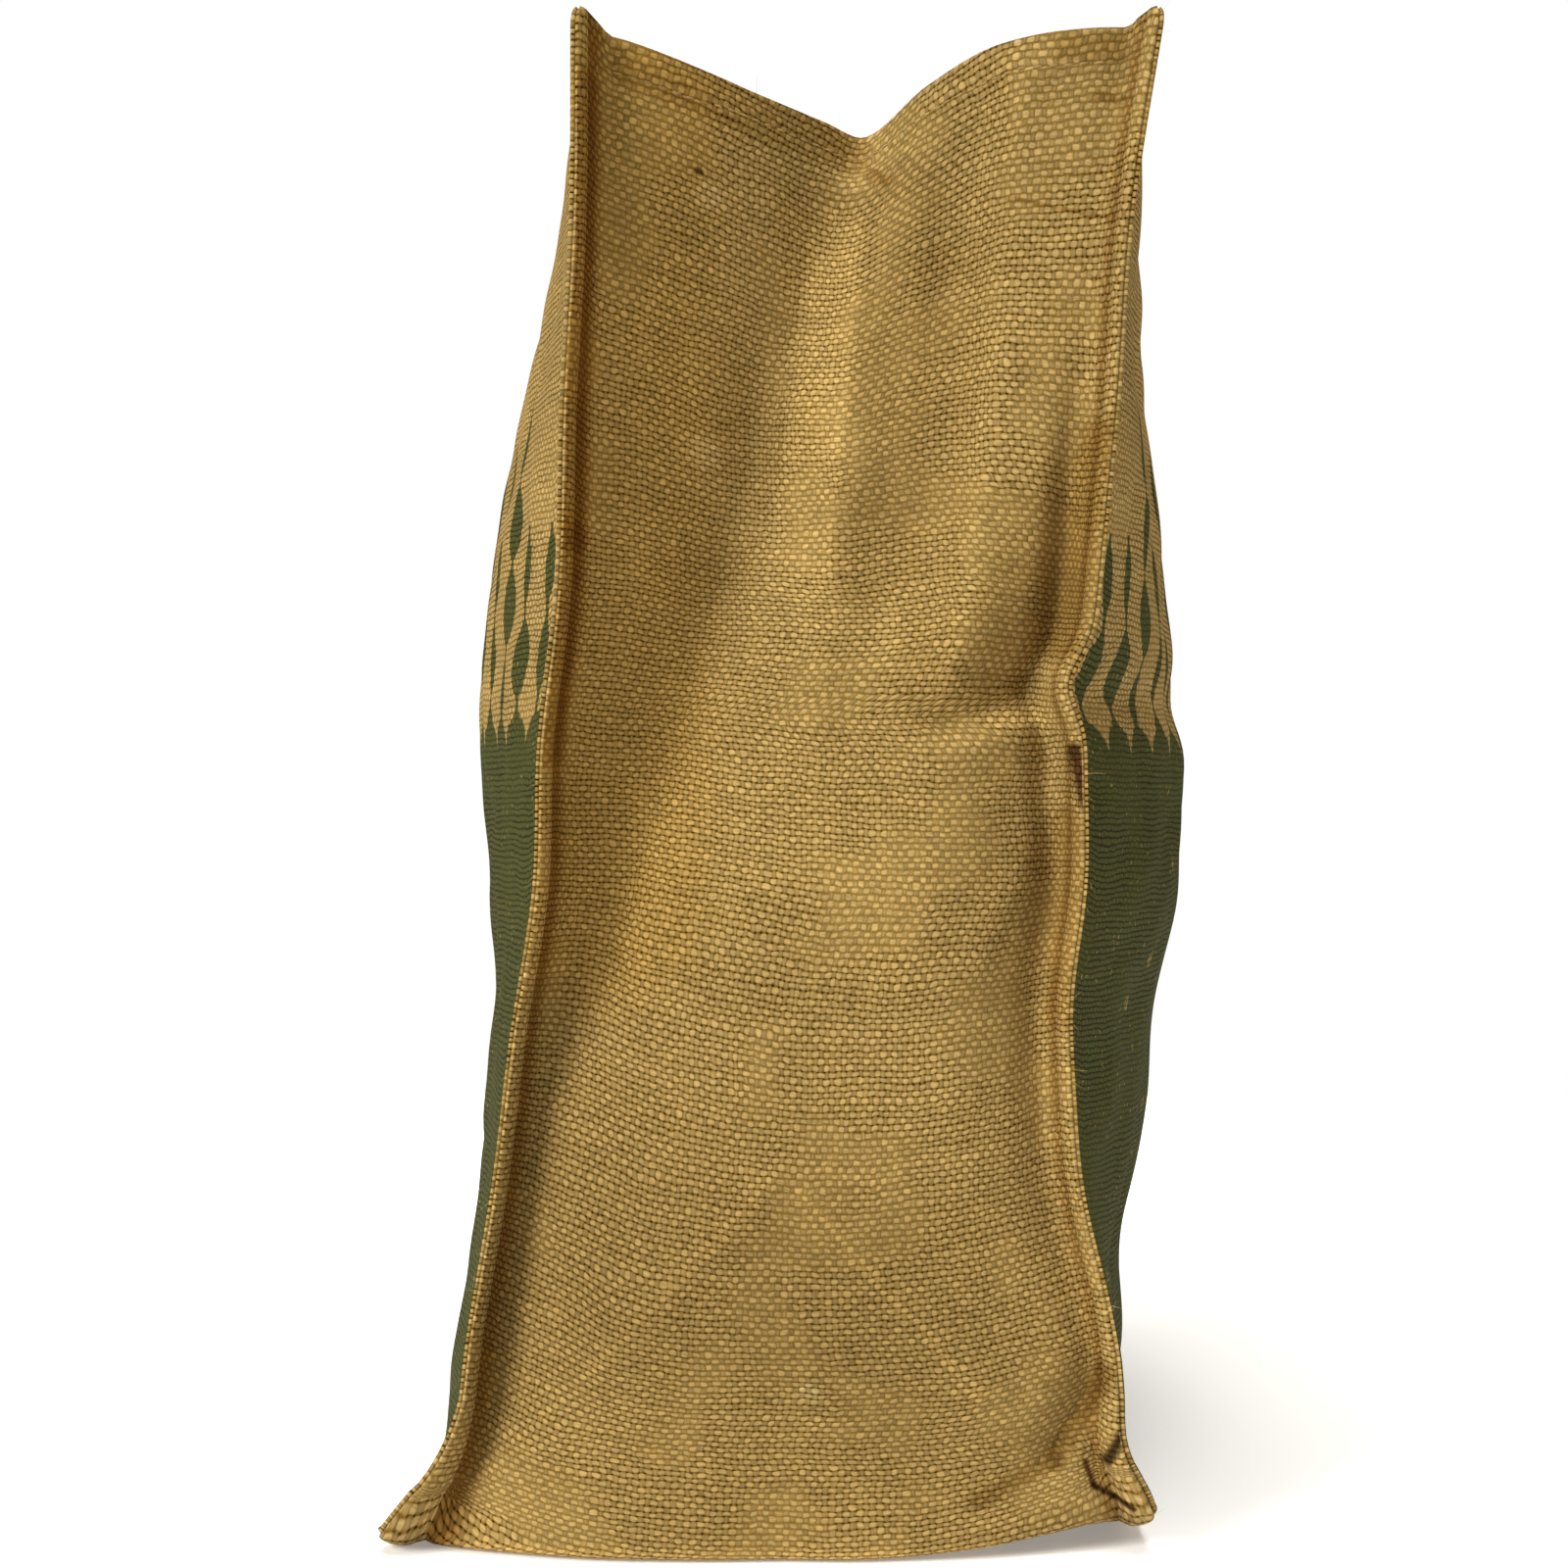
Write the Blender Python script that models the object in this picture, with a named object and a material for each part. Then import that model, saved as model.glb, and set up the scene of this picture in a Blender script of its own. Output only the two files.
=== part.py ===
"""A burlap bag that stands open and empty, its narrow sides half folded in.

Three cut pieces of cloth, each a closed solid of one cloth's thickness on its own folds:
two broad panels, and one long strip that is the near narrow side, the base and the far narrow side.
Their seam allowances stand outside as welts, which end in an ear at each bottom corner.

Metres, +Z up. The origin is on the floor, in the middle of the base. The bag's length runs along Y,
its near narrow side faces -Y, the front panel faces +X and the back panel faces -X.
"""

import collections
import math

import bmesh
import bpy
import numpy as np

MM = 0.001

# Cloth and sewing.
CLOTH = 1.5 * MM
HEM_CLOTH = 2.7 * MM
SEAM_GAP = 0.3 * MM
HEM_DEPTH = 13.0 * MM
HEM_STEP = 1.5 * MM
WELT = 7.5 * MM
WELT_LEAN = 14.0  # degrees that a standing welt leans from the bag's length towards its side
EAR_DROOP = 0.1  # an ear's fall towards the floor against its width

# The bag as it stands.
BAG_LENGTH = 420.0 * MM
BAG_HEIGHT = 454.0 * MM
BOTTOM_RADIUS = 20.0 * MM
SEAM_DRAW_IN = 6.0 * MM  # how far the bulging panels pull the upright seams towards the middle
TIP_RISE = 3.5 * MM  # how far each top corner stands above the hems beside it
TIP_SHARE_SIDE, TIP_SHARE_PANEL = 0.04, 0.025  # the share of each hem over which it drops from the corner
MOUTH_SAG = 4.0 * MM  # how far the panels' hems sag between the corners
EDGE_DIP = 0.5  # the narrow sides' top edge sinks by this share of what it is folded in
FAR_FOLD = 0.85  # depth of the far side's fold against the near one's
CORNER_LIFT = 9.0 * MM  # the front panel's near bottom corner stands off the floor
CORNER_LIFT_REACH = 85.0 * MM
BASE_WAVE = 1.2 * MM  # the base's long seams run a little uneven
PANEL_ROUNDNESS = 2.1  # power of a panel's bulge from seam to seam: 2 is an arc, more is flatter
SIDE_CREASE_FADE = 0.3  # power by which the near side's creases fade towards its seams
PANEL_CREASE_FADE = 1 / 6  # share of a panel's length over which its creases fade beside each seam
SHARP_FOLD = 50.0  # degrees; edges that fold more than this are shaded sharp

# How the two layers of a seam lie on the floor: the strip's layer below, the panel's above.
STRIP_LEVEL = CLOTH / 2
SEAM_LEVEL = CLOTH + SEAM_GAP / 2
HALF_SEAM = (CLOTH + SEAM_GAP) / 2

# Steps of the cloth grids.
HEM_ROWS = 3  # the top edge, the hem's stitched edge and the plain cloth just under it
SIDE_STEPS = 20
BEND_STEPS = 6
BASE_STEPS = 14
ACROSS_STRIP = (0, 0.035, 0.08, 0.16, 0.25, 0.33, 0.41, 0.46, 0.5, 0.55, 0.62, 0.69, 0.76, 0.84, 0.91,
                0.96, 1)  # shares of the strip's width, from the back seam to the front seam

# Millimetres. X of each panel at the near seam, at mid length and at the far seam, up the bag.
SECTION_COLUMNS = ("height", "back_near", "back_mid", "back_far", "front_near", "front_mid", "front_far")
SECTIONS = (
    (0, -103, -103, -103, 105, 105, 105),
    (12, -98.5, -104, -97, 104.5, 107, 103),
    (30, -91.5, -104, -92, 103, 112, 101),
    (67, -85.5, -99, -86, 97.5, 116, 98),
    (110, -78.5, -94, -78, 89, 126, 95),
    (152, -73.5, -91, -72, 88.5, 133, 95),
    (195, -67, -94, -66, 91.5, 140, 96),
    (238, -65.5, -98, -63, 91, 142, 97),
    (281, -60.5, -97, -60, 94.5, 136, 98),
    (338, -58.5, -87, -56, 100, 128, 100),
    (395, -55.5, -72, -52, 104, 121, 102),
    (454, -55, -59, -48, 113, 118, 104),
)

# Millimetres. How far the near narrow side is folded in, at shares of its width from back to front.
INSET_SHARES = (0, 0.08, 0.25, 0.35, 0.42, 0.50, 0.62, 0.72, 0.80, 0.90, 0.96, 1)
INSETS = (
    # height, then the inset at each share between the two seams
    (0, -4, -12, -13, -13, -12, -13, -11, -9, -4, -1.5),
    (30, -2, -12, -13.5, -14, -13, -14, -13, -11, -5, -2),
    (67, 0, -9, -10, -11, -11, -11, -10, -8, -3, 0),
    (110, 0, -4, -6, -7, -7, -8, -9, -8, -2, 2),
    (152, 5, 1, -1, -3, -4, -7, -10, -10, -2, 4),
    (195, 13, 8, 5, 3, 1, -3, -8, -6, 2, 7),
    (238, 15, 22, 18, 15, 12, 9, 3, 3, 9, 13),
    (281, 14, 30, 27, 22, 17, 17, 12, 9, 15, 20),
    (310, 13.5, 31.5, 34, 28, 21, 21.5, 19, 12, 11, 14),
    (338, 13, 33, 40, 33, 25, 25.5, 24, 16, 9, 8),
    (395, 11, 29, 37, 42, 37, 32, 31, 20, 10, 5),
    (454, 8, 25, 35, 42, 50, 26, 10.5, 5, 2, 1),
)

# Millimetres. Soft creases: ends, half width on the left and on the right of the way from the first end
# to the second, and push into the bag (out where negative).
NEAR_CREASES = (
    # name, x0, z0, x1, z1, left half width, right half width, push
    ("valley of the dent", 52, 243, 95, 259, 30, 18, 10),
    ("ridge below the dent", 49, 235, 93, 246, 16, 16, -4),
    ("pocket beside the front seam", 87, 230, 86, 192, 16, 16, 5),
    ("upper edge of the front hollow", 84, 222, 62, 176, 20, 18, -3),
    ("base fold, back leg", 4, 112, -73, 32, 14, 14, -1.5),
    ("base fold, front leg", 4, 112, 64, 52, 14, 14, -1.5),
    ("pucker above the front ear", 98, 54, 80, 26, 13, 13, 5),
    ("back fold line, upper part", 19, 414, -14, 290, 22, 26, 4),
    ("back fold line, lower part", -14, 290, -57, 146, 22, 26, 4),
    ("middle fold line, upper part", 29, 430, 24, 320, 18, 18, -2),
    ("middle fold line, lower part", 24, 320, 8, 215, 18, 18, -2),
    ("front fold line, upper part", 75, 440, 70, 355, 20, 18, -3),
    ("front fold line, lower part", 70, 355, 54, 256, 20, 18, -3),
)
PANEL_CREASES = (
    # name, y0, z0, y1, z1, left half width, right half width, push
    ("fold from the near seam's nip", -196, 249, -90, 215, 26, 26, 3),
    ("fold from the near hem", -185, 400, -105, 330, 30, 30, 3),
    ("fold from the near ear", -190, 30, -110, 95, 28, 28, 4),
    ("fold from the far ear", 190, 30, 105, 90, 30, 30, 4),
    ("fold from the far hem", 185, 410, 90, 330, 32, 32, 3),
    ("slack across the middle", -30, 118, 95, 150, 34, 34, 3),
)
# Millimetres. Places where the near front seam is nipped in: height, half height, push towards the back.
SEAM_NIPS = (
    (256, 11, 6),
    (165, 30, 2.5),
    (27, 16, 5),
)

# The ears: how far each stands out (mm), how far it spreads up its seam (mm), and how many degrees it
# turns from the bag's length towards its side.
EARS = {
    ("back", "near"): (15, 17, 64),
    ("front", "near"): (12.5, 40, 46),
    ("back", "far"): (14, 17, 56),
    ("front", "far"): (15, 17, 62),
}
EAR_SPREAD_ALONG = 13.0 * MM  # along the base
WELT_TURN_UP, WELT_TURN_ALONG = 42.0 * MM, 34.0 * MM  # where a welt has left its ear's direction

BURLAP_COLOUR = (0.335, 0.205, 0.072, 1.0)
PRINTED_BURLAP_COLOUR = (0.30, 0.20, 0.085, 1.0)
BURLAP_ROUGHNESS = 0.93


def smooth_through(x, knots, values):
    """A cubic through the knots, whose slope at each knot follows its neighbours."""
    knots = np.asarray(knots, float)
    values = np.asarray(values, float)
    slopes = np.gradient(values, knots, axis=0)
    left = int(np.clip(np.searchsorted(knots, x) - 1, 0, len(knots) - 2))
    span = knots[left + 1] - knots[left]
    t = (np.clip(x, knots[0], knots[-1]) - knots[left]) / span
    ease = t * t * (3 - 2 * t)
    start = t * (1 - t) ** 2 * span * slopes[left]
    end = -t * t * (1 - t) * span * slopes[left + 1]
    return values[left] * (1 - ease) + values[left + 1] * ease + start + end


def ramp(share, width):
    """Rises from 0 at either end of a run to 1 over this share of it."""
    return min(1.0, share / width, (1 - share) / width)


def section(column, height):
    """The X of one named column of SECTIONS at a height, in metres."""
    table = np.array(SECTIONS, float) * MM
    return float(smooth_through(height, table[:, 0], table[:, SECTION_COLUMNS.index(column)]))


def inset(share, height):
    """How far the near side is folded in at a share of its width and a height, in metres."""
    table = np.array(INSETS, float) * MM
    row = smooth_through(height, table[:, 0], table[:, 1:])
    return float(smooth_through(share, INSET_SHARES, [0.0, *row, 0.0]))


def crease_push(creases, across, height):
    """The push of a list of creases at a point: each fades with the distance from its line.

    The half width goes over smoothly from that of one side to that of the other round the ends.
    """
    push = 0.0
    for _, x0, z0, x1, z1, left, right, depth in creases:
        start = np.array((x0, z0)) * MM
        line = np.array((x1, z1)) * MM - start
        point = np.array((across, height)) - start
        along = np.clip(point @ line / (line @ line), 0, 1)
        away = np.linalg.norm(point - along * line)
        off_line = (point[1] * line[0] - point[0] * line[1]) / np.linalg.norm(line)
        on_left = np.clip(off_line / max(away, MM / 1000), -1, 1)
        near = 1 - away / (MM * ((left + right) / 2 + (left - right) / 2 * on_left))
        push += depth * MM * max(near, 0) ** 1.5
    return push


def seam_nip(height):
    """How far the near front seam is drawn towards the back at a height."""
    return sum(push * MM * math.exp(-(((height / MM - at) / half) ** 2)) for at, half, push in SEAM_NIPS)


def draw_in(height):
    """How far an upright seam stands inside the bag's full length: most at half height, none at the ends."""
    return SEAM_DRAW_IN * math.sin(math.pi * np.clip(height / BAG_HEIGHT, 0, 1)) ** 2


def lift(points):
    """Raises each point by what the lifted front corner gives at its place."""
    corner = np.array((section("front_near", 0), -BAG_LENGTH / 2))
    raised = np.array(points)
    reach = np.linalg.norm(raised[:, :2] - corner, axis=1) / CORNER_LIFT_REACH
    fade_up = np.clip(1 - raised[:, 2] / (2 * CORNER_LIFT_REACH), 0, 1)
    raised[:, 2] += CORNER_LIFT * np.clip(1 - reach, 0, 1) ** 2 * fade_up
    return raised


Seam = collections.namedtuple("Seam", "flat line edge line_step edge_step")


def unit(vectors):
    vectors = np.array(vectors)
    return vectors / np.linalg.norm(vectors, axis=1)[:, None]


def row_heights():
    """Heights of the rows on an upright seam, from the top corner down to the bend at the floor."""
    top = [BAG_HEIGHT, BAG_HEIGHT - HEM_DEPTH, BAG_HEIGHT - HEM_DEPTH - HEM_STEP]
    bend_top = SEAM_LEVEL + BOTTOM_RADIUS
    return top + list(np.linspace(top[-1], bend_top, SIDE_STEPS + 1)[1:])


def seam_path(side):
    """One long seam: down the near side, along the base and up the far side.

    A quarter circle joins each upright stretch to the base. Gives the seam's points with the front
    corner down (flat), as they lie (line), the welt's outer edge, and at both of these the half
    step from between the two layers to the strip's own (the panel's is as far the other way).
    """
    sign = {"back": -1.0, "front": 1.0}[side]
    half = BAG_LENGTH / 2
    upright, straight = len(row_heights()), BASE_STEPS + 1
    turns = [math.pi / 2 * step / BEND_STEPS for step in range(1, BEND_STEPS)]

    # One upright seam and its bend, from the top down, then the base, then the other end from the floor up.
    drop = [(height, 0.0) for height in row_heights()]
    drop += [(SEAM_LEVEL + BOTTOM_RADIUS * (1 - math.sin(turn)), turn) for turn in turns]
    points = {"near": [], "far": []}
    for name, end in (("near", -1.0), ("far", 1.0)):
        for height, turn in drop:
            x = section(f"{side}_{name}", height - SEAM_LEVEL * (turn > 0))
            x -= seam_nip(height) * (side == "front" and name == "near")
            y = end * (half - draw_in(height) - BOTTOM_RADIUS * (1 - math.cos(turn)))
            points[name].append((x, y, height))
    base = []
    for share in np.linspace(0, 1, straight):
        wave = BASE_WAVE * math.sin(3 * math.pi * share) * math.sin(math.pi * share)
        y = (half - BOTTOM_RADIUS) * (2 * share - 1)
        base.append((section(f"{side}_near", 0) + sign * wave, y, SEAM_LEVEL))
    points = np.array(points["near"] + base + points["far"][::-1])

    # The welt turns from facing the narrow side to lying on the floor, and widens to the ear between.
    lengths = np.linalg.norm(np.diff(points, axis=0), axis=1)
    run = np.concatenate([[0.0], np.cumsum(lengths)])
    corner_row = upright - 1 + BEND_STEPS // 2
    welts, widths = [], []
    for row in range(len(points)):
        near = row < len(points) / 2
        ear, spread_up, ear_turn = EARS[side, "near" if near else "far"]
        above = run[corner_row] - run[row] if near else run[row] - run[len(points) - 1 - corner_row]
        turn_knots = (-WELT_TURN_ALONG, 0.0, WELT_TURN_UP)
        turned = smooth_through(above, turn_knots, np.radians((90.0, ear_turn, WELT_LEAN)))
        spread = spread_up * MM if above > 0 else EAR_SPREAD_ALONG
        eared = math.exp(-((above / spread) ** 2))
        end = -1.0 if near else 1.0
        droop = EAR_DROOP * eared * (above >= 0)
        welts.append((sign * math.sin(turned), end * math.cos(turned), -droop))
        widths.append(WELT + (ear * MM - WELT) * eared)
    welts = unit(welts)
    line = lift(points)
    edge = line + welts * np.array(widths)[:, None]
    line_step = unit(sign * np.cross(np.gradient(line, axis=0), welts)) * HALF_SEAM
    edge_step = unit(sign * np.cross(np.gradient(edge, axis=0), welts)) * HALF_SEAM
    return Seam(np.array(points), line, edge, line_step, edge_step)


def side_fold(end, share, height, x=None):
    """How far the near or far side is folded in; the far one is a plainer, shallower mirror of the near."""
    if end == "far":
        return FAR_FOLD * inset(1 - share, height)
    if x is None:
        return inset(share, height)
    clear_of_seams = math.sin(math.pi * share) ** SIDE_CREASE_FADE
    return inset(share, height) + crease_push(NEAR_CREASES, x, height) * clear_of_seams


def side_point(end, share, start, stop, from_top):
    """A point of a narrow side or of its bend, between the two seams' points on the same row."""
    point = start + (stop - start) * share
    height = point[2]
    outward = -1.0 if end == "near" else 1.0
    point[1] -= outward * side_fold(end, share, height, point[0])
    if from_top < len(row_heights()):
        # Cloth that is folded in slants, so its top edge sinks.
        upper = np.clip(2 * height / BAG_HEIGHT - 1, 0, 1)
        point[2] -= EDGE_DIP * side_fold(end, share, BAG_HEIGHT) * upper**2
    if from_top < HEM_ROWS:
        point[2] -= TIP_RISE * ramp(share, TIP_SHARE_SIDE)
    return point


def base_point(share, start, stop, along):
    """A point of the base, on rows that spread out to meet the bulge of each side's bottom edge."""
    point = start + (stop - start) * share
    near_bulge = -side_fold("near", share, 0)
    far_bulge = -side_fold("far", share, 0)
    point[1] += far_bulge * along**2 - near_bulge * (1 - along) ** 2
    point[2] = STRIP_LEVEL
    return point


def strip_body(start, stop, row, rows):
    """The strip's points between its seams on one row of the seam paths."""
    last_bend_row = len(row_heights()) + BEND_STEPS - 2
    inner = ACROSS_STRIP[1:-1]
    if row <= last_bend_row:
        return [side_point("near", share, start, stop, row) for share in inner]
    if rows - 1 - row <= last_bend_row:
        return [side_point("far", share, start, stop, rows - 1 - row) for share in inner]
    along = (row - last_bend_row - 1) / BASE_STEPS
    return [base_point(share, start, stop, along) for share in inner]


def welt_faces(seam, edge, next_seam, next_edge):
    """Two triangles of a welt, cut the same way in both layers so that they stay parallel."""
    return [(seam, edge, next_edge), (seam, next_edge, next_seam)]


def cloth_solid(name, points, faces, hem_weights, colour):
    """Gives a cloth's middle surface its thickness, more on the hem, and makes it an object."""
    mesh = bpy.data.meshes.new(name)
    mesh.from_pydata([tuple(point) for point in points], [], faces)
    sheet = bmesh.new()
    sheet.from_mesh(mesh)
    bmesh.ops.recalc_face_normals(sheet, faces=sheet.faces)
    sheet.to_mesh(mesh)
    sheet.free()
    mesh.shade_smooth()
    mesh.set_sharp_from_angle(angle=math.radians(SHARP_FOLD))
    cloth = bpy.data.objects.new(name, mesh)
    bpy.context.scene.collection.objects.link(cloth)

    hem = cloth.vertex_groups.new(name="hem")
    for index, weight in enumerate(hem_weights):
        hem.add([index], float(weight), "REPLACE")
    thick = cloth.modifiers.new("cloth thickness", "SOLIDIFY")
    thick.thickness = HEM_CLOTH
    thick.offset = 0.0
    thick.use_even_offset = True
    thick.use_quality_normals = True
    thick.vertex_group = "hem"
    thick.thickness_vertex_group = CLOTH / HEM_CLOTH

    material = bpy.data.materials.new(name)
    material.use_nodes = True
    shader = material.node_tree.nodes["Principled BSDF"]
    shader.inputs["Base Color"].default_value = colour
    shader.inputs["Roughness"].default_value = BURLAP_ROUGHNESS
    shader.inputs["Metallic"].default_value = 0.0
    mesh.materials.append(material)
    return cloth


def side_and_base_strip():
    """The strip: welt, body and welt on every row of the two seam paths."""
    back, front = seam_path("back"), seam_path("front")
    rows = len(back.line)
    columns = len(ACROSS_STRIP) + 2

    points, hems = [], []
    for row in range(rows):
        start = back.flat[row] + back.line_step[row]
        end = front.flat[row] + front.line_step[row]
        body = lift(strip_body(start, end, row, rows))
        points += [back.edge[row] + back.edge_step[row], back.line[row] + back.line_step[row], *body]
        points += [front.line[row] + front.line_step[row], front.edge[row] + front.edge_step[row]]
        in_hem = min(row, rows - 1 - row) < HEM_ROWS - 1
        hems += [0, 0, 0] + [int(in_hem)] * (columns - 6) + [0, 0, 0]

    faces = []
    for row in range(rows - 1):
        here, below = row * columns, (row + 1) * columns
        faces += welt_faces(here + 1, here, below + 1, below)
        for column in range(1, columns - 2):
            faces.append((here + column, here + column + 1, below + column + 1, below + column))
        faces += welt_faces(here + columns - 2, here + columns - 1, below + columns - 2, below + columns - 1)
    return cloth_solid("side_and_base_strip", points, faces, hems, BURLAP_COLOUR)


def panel_bulge(side, along, height):
    """How far a panel stands out from the line between its seams, at a share of its length."""
    line = (section(f"{side}_near", height) + section(f"{side}_far", height)) / 2
    roundness = 1 - abs(2 * along - 1) ** PANEL_ROUNDNESS
    return (section(f"{side}_mid", height) - line) * roundness


def panel(side):
    """A broad panel: a patch between its three seams and its top hem, with a welt round the seams."""
    sign = {"back": -1.0, "front": 1.0}[side]
    path = seam_path(side)
    layer = path.flat - path.line_step
    corner_row = len(row_heights()) - 1 + BEND_STEPS // 2
    near = layer[corner_row::-1]
    far = layer[len(layer) - 1 - corner_row :]
    bottom = layer[corner_row : len(layer) - corner_row]
    steps_up, steps_along = len(near) - 1, len(bottom) - 1

    shares_along = (bottom[:, 1] - bottom[0, 1]) / (bottom[-1, 1] - bottom[0, 1])
    shares_up = (near[:, 2] - near[0, 2]) / (near[-1, 2] - near[0, 2])
    top = near[-1] + shares_along[:, None] * (far[-1] - near[-1])

    points, hems = [], []
    for i, up in enumerate(shares_up):
        for j, along in enumerate(shares_along):
            across = (1 - along) * near[i] + along * far[i]
            rising = (1 - up) * bottom[j] + up * top[j]
            corners = (1 - up) * ((1 - along) * near[0] + along * far[0])
            corners = corners + up * ((1 - along) * near[-1] + along * far[-1])
            point = across + rising - corners
            on_seam = i == 0 or j in (0, steps_along)
            if not on_seam:
                height = point[2]
                point[0] += panel_bulge(side, along, height)
                fade = ramp(along, PANEL_CREASE_FADE) * (1 - up**4)
                point[0] -= sign * crease_push(PANEL_CREASES, point[1], height) * fade
                sag = TIP_RISE * ramp(along, TIP_SHARE_PANEL) + MOUTH_SAG * math.sin(math.pi * along) ** 2
                point[2] -= sag * up**3
            points.append(point)
            hems.append(int(i > steps_up - (HEM_ROWS - 1) and 2 <= j <= steps_along - 2))

    columns = steps_along + 1
    faces = []
    for i in range(steps_up):
        for j in range(steps_along):
            corner = i * columns + j
            faces.append((corner, corner + 1, corner + columns + 1, corner + columns))

    # The welt: one more row of points outside the seam, all the way round it.
    seam = [i * columns for i in range(steps_up, 0, -1)]
    seam += list(range(columns))
    seam += [i * columns + steps_along for i in range(1, steps_up + 1)]
    first = len(points)
    points = lift(points)
    points[seam] = path.line - path.line_step
    points = np.vstack([points, path.edge - path.edge_step])
    hems += [0] * len(seam)
    for k in range(len(seam) - 1):
        faces += welt_faces(seam[k], first + k, seam[k + 1], first + k + 1)
    return cloth_solid(f"{side}_panel", points, faces, hems, PRINTED_BURLAP_COLOUR)


def clear_scene():
    for leftover in list(bpy.data.objects):
        bpy.data.objects.remove(leftover, do_unlink=True)


clear_scene()
side_and_base_strip()
panel("back")
panel("front")
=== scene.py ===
# %% [markdown]
# # A burlap bag that stands open
#
# The solids give this bag its size, its three pieces of cloth and its main folds. This lesson dresses them.
# Each piece of cloth becomes a thin sheet with finer folds, worked out as a grid of points. After the shape
# come the weave, the print, the sewing and the loose fibres, each in its own short step.

# %% Load the solids as a fixed frame
import collections

import bpy
import numpy as np
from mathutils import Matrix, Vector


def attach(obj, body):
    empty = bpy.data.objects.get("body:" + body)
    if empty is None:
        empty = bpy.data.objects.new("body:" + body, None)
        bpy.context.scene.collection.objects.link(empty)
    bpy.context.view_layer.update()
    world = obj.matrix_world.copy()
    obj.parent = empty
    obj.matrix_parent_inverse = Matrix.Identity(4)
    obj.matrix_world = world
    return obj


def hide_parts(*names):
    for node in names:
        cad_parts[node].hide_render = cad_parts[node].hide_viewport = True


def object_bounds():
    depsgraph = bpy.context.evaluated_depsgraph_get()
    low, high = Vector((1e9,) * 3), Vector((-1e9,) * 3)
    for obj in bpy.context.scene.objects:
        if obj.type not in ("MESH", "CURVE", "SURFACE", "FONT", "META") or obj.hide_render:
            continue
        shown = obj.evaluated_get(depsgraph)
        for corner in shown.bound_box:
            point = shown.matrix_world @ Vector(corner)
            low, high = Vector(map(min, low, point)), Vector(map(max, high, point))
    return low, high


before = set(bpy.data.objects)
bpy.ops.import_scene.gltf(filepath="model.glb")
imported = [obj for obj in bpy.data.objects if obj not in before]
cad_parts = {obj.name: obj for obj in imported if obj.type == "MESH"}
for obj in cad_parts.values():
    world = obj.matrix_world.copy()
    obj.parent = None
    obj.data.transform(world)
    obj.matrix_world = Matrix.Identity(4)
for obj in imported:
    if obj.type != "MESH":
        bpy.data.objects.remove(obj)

MM = 0.001
BODY = "root"
solid_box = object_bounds()
solid_size = [round((high - low) / MM, 1) for low, high in zip(*solid_box)]
print("solids:", sorted(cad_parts), "size in mm:", solid_size)

# %% [markdown]
# ## The camera
#
# The bag is seen square on to one narrow side, from half its height. A long lens is not enough to copy a
# photograph: the distance has to be right too, because it sets how much smaller the far end looks. Here the
# lens is given as the number of picture pixels that one metre covers at a distance of one metre.

# %% Camera
PICTURE_SIDE = 1600  # pixels
PIXELS_PER_METRE_AT_ONE_METRE = 3500
CAMERA_AT = (4.3 * MM, -1220 * MM, 226.5 * MM)
SENSOR_WIDTH = 36.0

camera = bpy.data.objects.new("camera", bpy.data.cameras.new("camera"))
bpy.context.scene.collection.objects.link(camera)
camera.location = CAMERA_AT
camera.rotation_euler = (np.pi / 2, 0, 0)
camera.data.sensor_width = SENSOR_WIDTH
camera.data.lens = SENSOR_WIDTH * PIXELS_PER_METRE_AT_ONE_METRE / PICTURE_SIDE
bpy.context.scene.camera = camera
print("camera lens in mm:", camera.data.lens)

# %% [markdown]
# ## The studio
#
# A product picture on white is taken on pale paper, so brightly and evenly lit that its edge doesn't show.
# Here the floor is one large disc, and the lights are suns, whose light doesn't fade with distance. A sun's
# angle is how wide it looks from the bag: a wide one is soft, as a large lamp close by is. The main light
# comes from the left and rakes across the narrow side to show its folds. The top light whitens the floor,
# and so does a faint glow of the paper's own, as over a light table: it keeps the shadows short and pale.
# The world is white to the camera and dimmer as a source of light, as a paper backdrop behind the bag is.

# %% Helpers that put numpy points into a mesh
def new_mesh_object(name, points, faces):
    """Makes an object at the origin from an array of points (n, 3) and an array of faces (m, 3 or 4)."""
    mesh = bpy.data.meshes.new(name)
    corners = faces.shape[1]
    mesh.vertices.add(len(points))
    mesh.vertices.foreach_set("co", points.astype(np.float32).ravel())
    mesh.loops.add(faces.size)
    mesh.loops.foreach_set("vertex_index", faces.astype(np.int32).ravel())
    mesh.polygons.add(len(faces))
    mesh.polygons.foreach_set("loop_start", np.arange(0, faces.size, corners, dtype=np.int32))
    mesh.update(calc_edges=True)
    mesh.validate()
    mesh.shade_smooth()
    made = bpy.data.objects.new(name, mesh)
    bpy.context.scene.collection.objects.link(made)
    return made


def grid_faces(rows, columns):
    """The four-cornered faces between the neighbours of a grid of points that is stored row by row."""
    start = np.arange(rows - 1)[:, None] * columns + np.arange(columns - 1)[None, :]
    return np.stack([start, start + 1, start + columns + 1, start + columns], axis=-1).reshape(-1, 4)


print("faces of a grid of 3 by 4 points:", len(grid_faces(3, 4)))

# %% Floor
FLOOR_RADIUS = 1.3
FLOOR_RINGS, FLOOR_SPOKES = 13, 65
FLOOR_DROP = 0.2 * MM  # the floor lies this little under the cloth, so that the two never share a plane
FLOOR_COLOUR = (0.93, 0.93, 0.93, 1.0)
FLOOR_GLOW = 0.25  # how strongly the paper itself shines, as over a light table


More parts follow.
